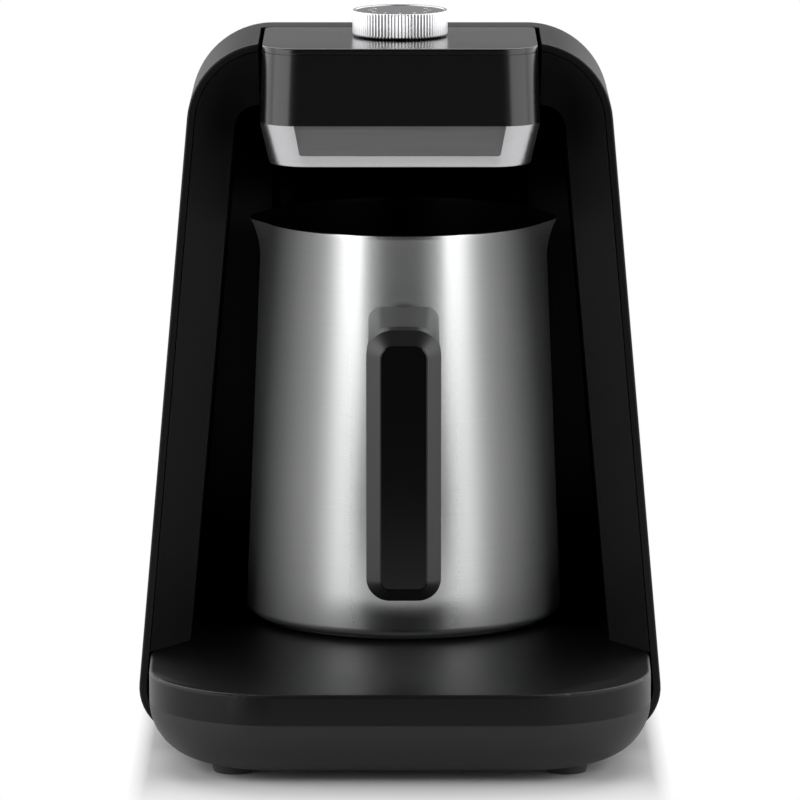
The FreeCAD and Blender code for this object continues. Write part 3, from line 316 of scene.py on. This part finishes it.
heaterAluminium = brushed(
    "turnedAluminium", dark=(0.46, 0.46, 0.47), light=(0.60, 0.60, 0.61), across=(300.0, 300.0, 300.0), rough=0.38,
    spread=0.1, depth=0.002)
heaterSheath = brushed(
    "heaterSheath", dark=(0.22, 0.19, 0.17), light=(0.36, 0.34, 0.33), across=(60.0, 60.0, 60.0), rough=0.42,
    depth=0.002)


boardValues = {
    "scale": 160.0, "gap": 0.06, "maskDark": (0.012, 0.09, 0.035, 1), "maskLight": (0.016, 0.11, 0.045, 1),
    "track": (0.05, 0.22, 0.10, 1), "roughness": 0.32, "height": 0.02,
}


# circuit board: solder mask with lighter copper tracks under it
def makeCircuitBoard():
    v = boardValues
    material, tree, shader = newMaterial("circuitBoard")
    coords = addNode(tree, "ShaderNodeTexCoord", -900, 0)
    tracks = addNode(tree, "ShaderNodeTexBrick", -700, 0)
    tracks.inputs["Scale"].default_value = v["scale"]
    tracks.inputs["Mortar Size"].default_value = v["gap"]
    tracks.inputs["Color1"].default_value = v["maskDark"]
    tracks.inputs["Color2"].default_value = v["maskLight"]
    tracks.inputs["Mortar"].default_value = v["track"]
    tree.links.new(coords.outputs["Object"], tracks.inputs["Vector"])
    tree.links.new(tracks.outputs["Color"], shader.inputs["Base Color"])
    group = addNode(tree, "ShaderNodeGroup", -600, -300, node_tree=mouldedGrain)
    group.inputs["Roughness"].default_value = v["roughness"]
    tree.links.new(group.outputs["Roughness"], shader.inputs["Roughness"])
    bumpFrom(tree, shader, tracks.outputs["Fac"], mm(v["height"]))
    return material


glassValues = {
    "dark": (0.10, 0.008, 0.012), "light": (0.16, 0.014, 0.02), "roughness": 0.06, "spread": 0.04, "clear": 0.6,
}


# dark red window of the level sensor
def makeSensorGlass():
    v = glassValues
    material, tree, shader = newMaterial("sensorGlass")
    group = addNode(tree, "ShaderNodeGroup", -600, 0, node_tree=mouldedGrain)
    group.inputs["Roughness"].default_value = v["roughness"]
    group.inputs["Spread"].default_value = v["spread"]
    shadeBetween(tree, shader, group.outputs["Shade"], v["dark"], v["light"])
    tree.links.new(group.outputs["Roughness"], shader.inputs["Roughness"])
    shader.inputs["Transmission Weight"].default_value = v["clear"]
    return material


circuitBoard = makeCircuitBoard()
sensorGlass = makeSensorGlass()
print("stage: materials built")


mergeValues = {"made": 1e-6, "copied": 2e-6}  # points nearer than this, in metres, become one


def smoothMesh(mesh, degrees):
    mesh.shade_smooth()
    mesh.set_sharp_from_angle(angle=math.radians(degrees))


def closedMesh(mesh):
    form = bmesh.new()
    form.from_mesh(mesh)
    bmesh.ops.remove_doubles(form, verts=form.verts, dist=mergeValues["made"])
    bmesh.ops.recalc_face_normals(form, faces=form.faces)
    form.to_mesh(mesh)
    form.free()


def placePiece(name, mesh, body, materials, replaced=()):
    piece = bpy.data.objects.new(name, mesh)
    bpy.context.scene.collection.objects.link(piece)
    marks = [min(face.material_index, len(materials) - 1) for face in mesh.polygons]  # clearing sets them all to zero
    mesh.materials.clear()
    for material in materials:
        mesh.materials.append(material)
    for face, mark in zip(mesh.polygons, marks):
        face.material_index = mark
    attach(piece, body)
    if replaced:
        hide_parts(*replaced)
    return piece


def bodyOf(node):
    return frame["nodes"][node]["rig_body"]


copyValues = {"sharp": 28.0, "flat": 0.6, "bevelFrom": 40.0, "bevelSteps": 2}  # angles in degrees


# a merged copy of a CAD node, smooth over its rounds and crisp at its edges; bevel is in mm
def smoothCopy(node, name, materials, bevel=0.0):
    v = copyValues
    source = frame["nodes"][node].data
    mesh = bpy.data.meshes.new(name)
    mesh.from_pydata([point.co[:] for point in source.vertices], [],
                     [face.vertices[:] for face in source.polygons])
    form = bmesh.new()
    form.from_mesh(mesh)
    bmesh.ops.remove_doubles(form, verts=form.verts, dist=mergeValues["copied"])
    if bevel:
        bmesh.ops.dissolve_limit(form, angle_limit=math.radians(v["flat"]), verts=form.verts, edges=form.edges)
    form.to_mesh(mesh)
    form.free()
    smoothMesh(mesh, v["sharp"])
    piece = placePiece(name, mesh, bodyOf(node), materials, (node,))
    if bevel:
        edge = piece.modifiers.new("softEdge", "BEVEL")
        edge.width = mm(bevel)
        edge.segments = v["bevelSteps"]
        edge.limit_method = "ANGLE"
        edge.angle_limit = math.radians(v["bevelFrom"])
        edge.harden_normals = True
    return piece


def paintFaces(piece, index, test):
    for face in piece.data.polygons:
        if test(face.center, face.normal):
            face.material_index = index


finishes = {
    "base_screws": screwZinc, "rubber_feet": rubberBlack, "heating_plate": heaterAluminium,
    "plate_seal": siliconeBlack, "heater_element": heaterSheath, "heater_bracket": screwZinc,
    "bracket_screws": screwZinc, "thermostat": screwZinc, "thermal_fuse": screwZinc, "rear_screws": screwBlack,
    "head_base": bayShadedBlack, "head_screws": screwZinc, "sensor_lens": sensorGlass, "sensor_board": circuitBoard,
    "control_board": circuitBoard, "board_screws": screwZinc, "encoder": innerPlastic, "switch_dome": screwZinc,
    "switch_plunger": innerPlastic, "buzzer": innerPlastic, "knob_core": innerPlastic, "knob_shaft": screwZinc,
    "pot_base_ring": siliconeBlack, "pot_base_disc": heaterAluminium, "handle_mount": screwZinc,
    "handle_screw": screwZinc, "power_board": circuitBoard, "power_board_screws": screwZinc,
    "relay": innerPlastic, "transformer": transformerIron, "terminal_block": innerPlastic,
    "cord_gland": glandNylon, "gland_nut": glandNylon, "mains_leads": wireInsulation,
    "heater_leads": wireInsulation, "ribbon_cable": wireInsulation,
}


def finishNodes():
    for node, material in finishes.items():
        piece = frame["nodes"][node]
        piece.data.materials.clear()
        piece.data.materials.append(material)


finishNodes()
smoothCopy("rear_shell", "rearShell", [satinBlack])
smoothCopy("left_bezel", "leftBezel", [bezelBlack])
smoothCopy("right_bezel", "rightBezel", [bezelBlack])
trayPiece = smoothCopy("base_tray", "baseTray", [satinBlack, heelFloorLitBlack])
smoothCopy("bottom_cover", "bottomCover", [underBlack])
smoothCopy("bay_liner", "bayLiner", [bayShadedBlack])
smoothCopy("head_shell", "headShell", [glossBlack])
smoothCopy("head_top_cover", "headTopCover", [glossBlack])
bandPiece = smoothCopy("chrome_band", "chromeBand", [satinChrome, plateChrome], bevel=0.25)
smoothCopy("handle_grip", "handleGrip", [handleSatin], bevel=0.3)
smoothCopy("handle_insert", "handleInsert", [handleGloss])
smoothCopy("handle_bridge", "handleBridge", [bridgeTopLitSatin])
smoothCopy("knob_cap", "knobCap", [knobFace])
print("stage: CAD forms dressed")

plateValues = {"floorY": -67.9, "fit": 0.02, "facing": -0.98}  # the sunk facet of the bright band
heelValues = {"top": 21.0, "facing": 0.001}  # the base turns under below this level, in a coarser finish; its lighter colour there is painted light from the bright floor


def isPlate(centre, normal):
    near = abs(centre.y - mm(plateValues["floorY"])) < mm(plateValues["fit"])
    return near and normal.y < plateValues["facing"]


def isHeel(centre, normal):
    return centre.z < mm(heelValues["top"]) and normal.z < heelValues["facing"]


paintFaces(bandPiece, 1, isPlate)
# faces below the heel level that face sideways or down get the lighter plastic, painted floor light
paintFaces(trayPiece, 1, isHeel)


# the pot is a turned wall that opens into two pouring lips; sizes in mm, lipRound in radians, lipLead its share
potValues = {
    "centreX": 1.2, "centreY": 17.0, "trayTop": 31.0, "low": 32.2, "rim": 165.6, "bottomRadius": 53.0,
    "rimRadius": 47.4, "wall": 1.0, "floor": 3.0, "heel": 3.0, "flare": 16.0, "reach": 5.2, "lipRound": 0.07,
    "lipLead": 0.35, "underInsets": (12.0, 6.0), "floorInset": 20.0, "around": 480, "heelSteps": 6, "wallSteps": 10,
    "flareSteps": 14, "rimSteps": 8, "innerSteps": 12, "rimRows": 4, "sharp": 50.0,
}


def potWallRadius(z):
    p = potValues
    share = (z - p["trayTop"]) / (p["rim"] - p["trayTop"])
    return p["bottomRadius"] + (p["rimRadius"] - p["bottomRadius"]) * share


def potRadiusAt(z, inset, angle):
    p = potValues
    radius = potWallRadius(z) - inset
    share = max(0.0, (z - (p["rim"] - p["flare"])) / p["flare"])
    reach = p["reach"] * share ** 2
    if reach < 1e-4:
        return radius
    turn = math.acos(radius / (radius + reach))
    off = abs((angle + math.pi / 2) % math.pi - math.pi / 2)  # to the nearer lip, left or right
    soft = math.hypot(off, p["lipRound"]) - p["lipRound"] * p["lipLead"]
    return radius / math.cos(max(turn - soft, 0.0))


def quarter(step, steps):
    turn = math.pi / 2 * step / steps
    return 1 - math.cos(turn), 1 - math.sin(turn)


# heights and insets of the section's points, from under the pot over the rim and down to the floor inside
def potSection():
    p = potValues
    rows = [(p["low"], inset) for inset in p["underInsets"]]
    for i in range(p["heelSteps"] + 1):
        rise, inset = quarter(i, p["heelSteps"])
        rows.append((p["low"] + p["heel"] * rise, p["heel"] * inset))
    start = p["low"] + p["heel"]
    bend = p["rim"] - p["flare"]
    rows += [(start + (bend - start) * i / p["wallSteps"], 0.0) for i in range(1, p["wallSteps"] + 1)]
    half = p["wall"] / 2
    rows += [(bend + (p["flare"] - half) * i / p["flareSteps"], 0.0) for i in range(1, p["flareSteps"] + 1)]
    for i in range(1, p["rimSteps"]):
        turn = math.pi * i / p["rimSteps"]
        rows.append((p["rim"] - half + half * math.sin(turn), half - half * math.cos(turn)))
    rows += [(p["rim"] - half - (p["flare"] - half) * i / p["innerSteps"], p["wall"])
             for i in range(p["innerSteps"] + 1)]
    inner = p["low"] + p["floor"]
    fall = bend - inner - p["heel"]
    rows += [(bend - fall * i / p["wallSteps"], p["wall"]) for i in range(1, p["wallSteps"] + 1)]
    for i in range(1, p["heelSteps"] + 1):
        inset, rise = quarter(i, p["heelSteps"])
        rows.append((inner + p["heel"] * rise, p["wall"] + p["heel"] * inset))
    rows.append((inner, p["floorInset"]))
    return rows


# outside steel, coating inside and a polished rim
def makePot():
    p = potValues
    rows = potSection()
    count = p["around"]
    rimRow = max(range(len(rows)), key=lambda i: rows[i][0])
    points = []
    for z, inset in rows:
        for i in range(count):
            angle = 2 * math.pi * i / count
            r = potRadiusAt(z, inset, angle)
            points.append((mm(p["centreX"] + r * math.cos(angle)), mm(p["centreY"] + r * math.sin(angle)), mm(z)))
    faces = []
    marks = []
    for row in range(len(rows) - 1):
        mark = 1 if row >= rimRow else (2 if row >= rimRow - p["rimRows"] else 0)
        for i in range(count):
            a = row * count + i
            b = row * count + (i + 1) % count
            faces.append((a, b, b + count, a + count))
            marks.append(mark)
    for row, mark in ((0, 0), (len(rows) - 1, 1)):
        middle = len(points)
        points.append((mm(p["centreX"]), mm(p["centreY"]), mm(rows[row][0])))
        for i in range(count):
            a = row * count + i
            b = row * count + (i + 1) % count
            faces.append((middle, a, b) if mark else (middle, b, a))
            marks.append(mark)
    mesh = bpy.data.meshes.new("potBody")
    mesh.from_pydata(points, [], faces)
    for face, mark in zip(mesh.polygons, marks):
        face.material_index = mark
    closedMesh(mesh)
    smoothMesh(mesh, p["sharp"])
    placePiece("potBody", mesh, "pot", [potSteel, potCoating, potRimSteel], ("pot_body",))


makePot()
print("stage: pot turned")


# Geometry Nodes make the fluted knob ring and the dial marks
def newTree(name, inputs):
    tree = bpy.data.node_groups.new(name, "GeometryNodeTree")
    tree.interface.new_socket("Geometry", in_out="OUTPUT", socket_type="NodeSocketGeometry")
    for label, kind in inputs:
        tree.interface.new_socket(label, in_out="INPUT", socket_type=kind)
    return tree, tree.nodes.new("NodeGroupInput"), tree.nodes.new("NodeGroupOutput")


def socketId(tree, label):
    for item in tree.interface.items_tree:
        if item.in_out == "INPUT" and item.name == label:
            return item.identifier
    raise KeyError(label)


def runTree(tree, name, values):
    holder = bpy.data.objects.new(name + "Maker", bpy.data.meshes.new(name + "Maker"))
    bpy.context.scene.collection.objects.link(holder)
    modifier = holder.modifiers.new("maker", "NODES")
    modifier.node_group = tree
    for label, value in values.items():
        modifier[socketId(tree, label)] = value
    graph = bpy.context.evaluated_depsgraph_get()
    mesh = bpy.data.meshes.new_from_object(holder.evaluated_get(graph))
    holder.modifiers.remove(modifier)
    bpy.data.objects.remove(holder)
    mesh.name = name
    return mesh


def closeTree(tree, outside, geometry, material):
    realize = addNode(tree, "GeometryNodeRealizeInstances")
    paint = addNode(tree, "GeometryNodeSetMaterial")
    paint.inputs["Material"].default_value = material
    tree.links.new(geometry, realize.inputs[0])
    tree.links.new(realize.outputs[0], paint.inputs[0])
    tree.links.new(paint.outputs[0], outside.inputs[0])


knobValues = {
    "Centre": (0.0, -0.032, 0.0), "Radius": mm(15.5), "Wall": mm(1.15), "Bottom": mm(232.3), "Top": mm(240.3),
    "Flutes": 84, "Flute Depth": mm(0.22), "Edge": mm(0.35),
}
ringValues = {"perFlute": 8.0, "round": 61, "edgeSteps": 4, "narrow": 2.2, "outerShare": 0.4, "sharp": 40.0}


# the ring's section is a rounded rectangle carried round the axis; the flutes are cut by a narrow wave
def buildFlutedRing():
    v = ringValues
    tree, inside, outside = newTree("flutedRing", [
        ("Centre", "NodeSocketVector"), ("Radius", "NodeSocketFloat"), ("Wall", "NodeSocketFloat"),
        ("Bottom", "NodeSocketFloat"), ("Top", "NodeSocketFloat"), ("Flutes", "NodeSocketInt"),
        ("Flute Depth", "NodeSocketFloat"), ("Edge", "NodeSocketFloat")])
    given = inside.outputs
    height = mathNode(tree, "SUBTRACT", given["Top"], given["Bottom"])
    section = addNode(tree, "GeometryNodeCurvePrimitiveQuadrilateral")
    tree.links.new(given["Wall"], section.inputs["Width"])
    tree.links.new(height, section.inputs["Height"])
    rounded = addNode(tree, "GeometryNodeFilletCurve", mode="POLY")
    rounded.inputs["Count"].default_value = v["edgeSteps"]
    tree.links.new(section.outputs[0], rounded.inputs["Curve"])
    tree.links.new(given["Edge"], rounded.inputs["Radius"])
    around = mathNode(tree, "MULTIPLY_ADD", given["Flutes"], v["perFlute"], 1.0)
    grid = addNode(tree, "GeometryNodeMeshGrid")
    grid.inputs["Size X"].default_value = 1.0
    grid.inputs["Size Y"].default_value = 1.0
    grid.inputs["Vertices Y"].default_value = v["round"]
    tree.links.new(around, grid.inputs["Vertices X"])
    place = addNode(tree, "GeometryNodeInputPosition")
    parts = addNode(tree, "ShaderNodeSeparateXYZ")
    tree.links.new(place.outputs[0], parts.inputs[0])
    turn = mathNode(tree, "MULTIPLY", mathNode(tree, "ADD", parts.outputs["X"], 0.5), 2 * math.pi)
    along = mathNode(tree, "ADD", parts.outputs["Y"], 0.5, clamp=True)
    sample = addNode(tree, "GeometryNodeSampleCurve", mode="FACTOR")
    tree.links.new(rounded.outputs[0], sample.inputs["Curves"])
    tree.links.new(along, sample.inputs["Factor"])
    spot = addNode(tree, "ShaderNodeSeparateXYZ")
    tree.links.new(sample.outputs["Position"], spot.inputs[0])
    wave = mathNode(tree, "COSINE", mathNode(tree, "MULTIPLY", turn, given["Flutes"]))
    wave = mathNode(tree, "POWER", mathNode(tree, "MULTIPLY_ADD", wave, 0.5, 0.5), v["narrow"])
    outer = mathNode(tree, "MULTIPLY", given["Wall"], v["outerShare"])
    outer = rangeNode(tree, spot.outputs["X"], 0.0, outer, 0.0, 1.0)
    reach = mathNode(tree, "MULTIPLY", height, 0.5)
    edgeIn = mathNode(tree, "SUBTRACT", reach, given["Edge"])
    level = mathNode(tree, "ABSOLUTE", spot.outputs["Y"])
    body = rangeNode(tree, level, edgeIn, reach, 1.0, 0.0)
    share = mathNode(tree, "MULTIPLY", wave, outer)
    cut = mathNode(tree, "MULTIPLY", share, mathNode(tree, "MULTIPLY", body, given["Flute Depth"]))
    middle = mathNode(tree, "SUBTRACT", given["Radius"], mathNode(tree, "MULTIPLY", given["Wall"], 0.5))
    radius = mathNode(tree, "SUBTRACT", mathNode(tree, "ADD", middle, spot.outputs["X"]), cut)
    join = addNode(tree, "ShaderNodeCombineXYZ")
    tree.links.new(mathNode(tree, "MULTIPLY", radius, mathNode(tree, "COSINE", turn)), join.inputs["X"])
    tree.links.new(mathNode(tree, "MULTIPLY", radius, mathNode(tree, "SINE", turn)), join.inputs["Y"])
    lift = mathNode(tree, "ADD", given["Bottom"], reach)
    tree.links.new(mathNode(tree, "ADD", lift, spot.outputs["Y"]), join.inputs["Z"])
    shift = addNode(tree, "ShaderNodeVectorMath", operation="ADD")
    tree.links.new(join.outputs[0], shift.inputs[0])
    tree.links.new(given["Centre"], shift.inputs[1])
    move = addNode(tree, "GeometryNodeSetPosition")
    tree.links.new(grid.outputs["Mesh"], move.inputs["Geometry"])
    tree.links.new(shift.outputs[0], move.inputs["Position"])
    merge = addNode(tree, "GeometryNodeMergeByDistance")
    merge.inputs["Distance"].default_value = mergeValues["copied"]
    tree.links.new(move.outputs[0], merge.inputs[0])
    closeTree(tree, outside, merge.outputs[0], knobMetal)
    return tree


def makeKnobRing():
    mesh = runTree(buildFlutedRing(), "knobRing", knobValues)
    closedMesh(mesh)
    smoothMesh(mesh, ringValues["sharp"])
    placePiece("knobRing", mesh, "knob", [knobMetal], ("knob_ring",))


markValues = {
    "Centre": (0.0, -0.032, mm(240.04)), "Count": 9, "Radius": mm(9.6), "Length": mm(1.6), "Width": mm(0.55),
    "Thickness": mm(0.1), "Sweep": math.radians(240.0),
}


# short light strokes on an arc, as on a plain dial
def buildDialMarks():
    tree, inside, outside = newTree("dialMarks", [
        ("Centre", "NodeSocketVector"), ("Count", "NodeSocketInt"), ("Radius", "NodeSocketFloat"),
        ("Length", "NodeSocketFloat"), ("Width", "NodeSocketFloat"), ("Thickness", "NodeSocketFloat"),
        ("Sweep", "NodeSocketFloat")])
    given = inside.outputs
    arc = addNode(tree, "GeometryNodeCurveArc", mode="RADIUS")
    tree.links.new(given["Count"], arc.inputs["Resolution"])
    tree.links.new(given["Radius"], arc.inputs["Radius"])
    half = mathNode(tree, "MULTIPLY", given["Sweep"], -0.5)
    tree.links.new(mathNode(tree, "SUBTRACT", half, math.pi / 2), arc.inputs["Start Angle"])
    tree.links.new(given["Sweep"], arc.inputs["Sweep Angle"])
    points = addNode(tree, "GeometryNodeCurveToPoints", mode="EVALUATED")
    tree.links.new(arc.outputs[0], points.inputs[0])
    size = addNode(tree, "ShaderNodeCombineXYZ")
    tree.links.new(given["Length"], size.inputs["X"])
    tree.links.new(given["Width"], size.inputs["Y"])
    tree.links.new(given["Thickness"], size.inputs["Z"])
    stroke = addNode(tree, "GeometryNodeMeshCube")
    tree.links.new(size.outputs[0], stroke.inputs["Size"])
    place = addNode(tree, "GeometryNodeInputPosition")
    angle = addNode(tree, "ShaderNodeSeparateXYZ")
    tree.links.new(place.outputs[0], angle.inputs[0])
    turn = addNode(tree, "ShaderNodeCombineXYZ")
    tree.links.new(mathNode(tree, "ARCTAN2", angle.outputs["Y"], angle.outputs["X"]), turn.inputs["Z"])
    copies = addNode(tree, "GeometryNodeInstanceOnPoints")
    tree.links.new(points.outputs["Points"], copies.inputs["Points"])
    tree.links.new(stroke.outputs["Mesh"], copies.inputs["Instance"])
    tree.links.new(turn.outputs[0], copies.inputs["Rotation"])
    move = addNode(tree, "GeometryNodeTransform")
    tree.links.new(copies.outputs[0], move.inputs["Geometry"])
    tree.links.new(given["Centre"], move.inputs["Translation"])
    closeTree(tree, outside, move.outputs[0], markWhite)
    return tree


def makeDialMarks():
    mesh = runTree(buildDialMarks(), "dialMarks", markValues)
    placePiece("dialMarks", mesh, "knob", [markWhite])


makeKnobRing()
makeDialMarks()
print("stage: knob ring and dial marks made by node trees")


cameraValues = {
    "eye": (0.0, -2.249, 0.486), "aim": (0.0, 0.017, 0.1031), "lens": 308.0, "sensor": 36.0, "near": 0.05,
    "far": 50.0,
}


def makeCamera():
    data = bpy.data.cameras.new("photoCamera")
    data.lens = cameraValues["lens"]
    data.sensor_width = cameraValues["sensor"]
    data.clip_start = cameraValues["near"]
    data.clip_end = cameraValues["far"]
    camera = bpy.data.objects.new("photoCamera", data)
    bpy.context.scene.collection.objects.link(camera)
    eye = Vector(cameraValues["eye"])
    camera.location = eye
    camera.rotation_euler = (Vector(cameraValues["aim"]) - eye).to_track_quat("-Z", "Y").to_euler()
    bpy.context.scene.camera = camera


floorValues = {
    "half": 3.0, "roughness": 0.2, "spread": 0.02, "grain": 40.0, "dark": (0.70, 0.70, 0.70),
    "light": (0.74, 0.74, 0.74), "halfX": 0.081, "halfY": 0.102, "fadeX": 0.006, "fadeY": 0.068, "mirrored": 0.7,
}


# pale floor with a soft gloss; round the object it turns into the plain white ground
def makeFloor():
    v = floorValues
    mesh = bpy.data.meshes.new("studioFloor")
    h = v["half"]
    mesh.from_pydata([(-h, -h, 0), (h, -h, 0), (h, h, 0), (-h, h, 0)], [], [(0, 1, 2, 3)])
    floor = bpy.data.objects.new("studioFloor", mesh)
    bpy.context.scene.collection.objects.link(floor)
    material, tree, shader = newMaterial("studioFloor")
    group = addNode(tree, "ShaderNodeGroup", -600, 0, node_tree=mouldedGrain)
    group.inputs["Roughness"].default_value = v["roughness"]
    group.inputs["Spread"].default_value = v["spread"]
    group.inputs["Grain Scale"].default_value = v["grain"]
    tree.links.new(group.outputs["Roughness"], shader.inputs["Roughness"])
    shadeBetween(tree, shader, group.outputs["Shade"], v["dark"], v["light"])
    coords = addNode(tree, "ShaderNodeTexCoord", -1200, -300)
    parts = addNode(tree, "ShaderNodeSeparateXYZ", -1050, -300)
    tree.links.new(coords.outputs["Object"], parts.inputs[0])
    past = []
    for axis in "XY":
        level = mathNode(tree, "ABSOLUTE", parts.outputs[axis])
        share = rangeNode(tree, level, v["half" + axis], v["half" + axis] + v["fade" + axis], 0.0, 1.0)
        past.append(mathNode(tree, "POWER", share, 2.0))
    away = mathNode(tree, "SQRT", mathNode(tree, "ADD", past[0], past[1]), clamp=True)
    path = addNode(tree, "ShaderNodeLightPath", -700, -600)
    seen = mathNode(tree, "MULTIPLY", path.outputs["Is Glossy Ray"], v["mirrored"])
    seen = mathNode(tree, "MAXIMUM", seen, path.outputs["Is Camera Ray"])
    seen = mathNode(tree, "MAXIMUM", seen, path.outputs["Is Transmission Ray"])
    white = addNode(tree, "ShaderNodeEmission", -300, -500)
    white.inputs["Color"].default_value = (1, 1, 1, 1)
    blend = addNode(tree, "ShaderNodeMixShader", 300, 0)
    tree.links.new(mathNode(tree, "MULTIPLY", away, seen), blend.inputs[0])
    tree.links.new(shader.outputs[0], blend.inputs[1])
    tree.links.new(white.outputs[0], blend.inputs[2])
    tree.links.new(blend.outputs[0], tree.nodes["Material Output"].inputs["Surface"])
    mesh.materials.append(material)


worldValues = {"front": 0.025, "back": 0.34, "from": -0.1, "to": 0.45}


# room dim on the camera's side and bright behind the object; the camera itself sees plain white
def makeWorld():
    v = worldValues
    world = bpy.data.worlds.new("studioWorld")
    bpy.context.scene.world = world
    world.use_nodes = True
    tree = world.node_tree
    plain = tree.nodes["Background"]
    plain.inputs["Color"].default_value = (1, 1, 1, 1)
    coords = addNode(tree, "ShaderNodeTexCoord")
    parts = addNode(tree, "ShaderNodeSeparateXYZ")
    tree.links.new(coords.outputs["Generated"], parts.inputs[0])
    glow = rangeNode(tree, parts.outputs["Y"], v["from"], v["to"], v["front"], v["back"])
    tree.links.new(glow, plain.inputs["Strength"])
    seen = addNode(tree, "ShaderNodeBackground")
    seen.inputs["Color"].default_value = (1, 1, 1, 1)
    path = addNode(tree, "ShaderNodeLightPath")
    blend = addNode(tree, "ShaderNodeMixShader")
    tree.links.new(path.outputs["Is Camera Ray"], blend.inputs[0])
    tree.links.new(plain.outputs[0], blend.inputs[1])
    tree.links.new(seen.outputs[0], blend.inputs[2])
    tree.links.new(blend.outputs[0], tree.nodes["World Output"].inputs["Surface"])


# dark table in front of the set, outside the picture, as a studio lays one for glossy black pieces; the camera
# does not see it from any side
cardValues = {
    "near": -0.42, "far": -2.1, "half": 0.55, "level": 0.003, "dark": (0.004, 0.004, 0.004),
    "light": (0.006, 0.006, 0.006), "roughness": 0.9, "reflection": 0.05,
}


def makeDarkTable():
    v = cardValues
    mesh = bpy.data.meshes.new("darkTable")
    corners = [(-v["half"], v["far"]), (v["half"], v["far"]), (v["half"], v["near"]), (-v["half"], v["near"])]
    mesh.from_pydata([(x, y, v["level"]) for x, y in corners], [], [(0, 1, 2, 3)])
    card = bpy.data.objects.new("darkTable", mesh)
    bpy.context.scene.collection.objects.link(card)
    card.visible_camera = False
    mesh.materials.append(moulded("darkTableCloth", v["dark"], v["light"], v["roughness"], level=v["reflection"]))


lightValues = {
    "leftBox": {"spot": (-1.19, -0.70, 0.55), "size": (1.5, 1.7), "power": 24.0},
    "rightBox": {"spot": (1.19, -0.70, 0.55), "size": (1.5, 1.7), "power": 21.0},
    "leftSide": {"spot": (-1.12, 0.72, 0.50), "size": (1.95, 1.2), "power": 13.0},
    "rightSide": {"spot": (1.12, 0.72, 0.50), "size": (1.95, 1.2), "power": 13.0},
    "topBox": {"spot": (0.0, 0.6, 1.3), "size": (1.8, 0.9), "power": 24.0},
}
lightAim = Vector((0.0, 0.0, 0.12))


def makeLights():
    for name, v in lightValues.items():
        data = bpy.data.lights.new(name, "AREA")
        data.shape = "RECTANGLE"
        data.size, data.size_y = v["size"]
        data.energy = v["power"]
        lamp = bpy.data.objects.new(name, data)
        bpy.context.scene.collection.objects.link(lamp)
        lamp.location = v["spot"]
        lamp.rotation_euler = (lightAim - Vector(v["spot"])).to_track_quat("-Z", "Y").to_euler()


makeCamera()
makeFloor()
makeDarkTable()
makeWorld()
makeLights()
bpy.context.scene.view_settings.view_transform = "Standard"
print("stage: camera, floor and light set")
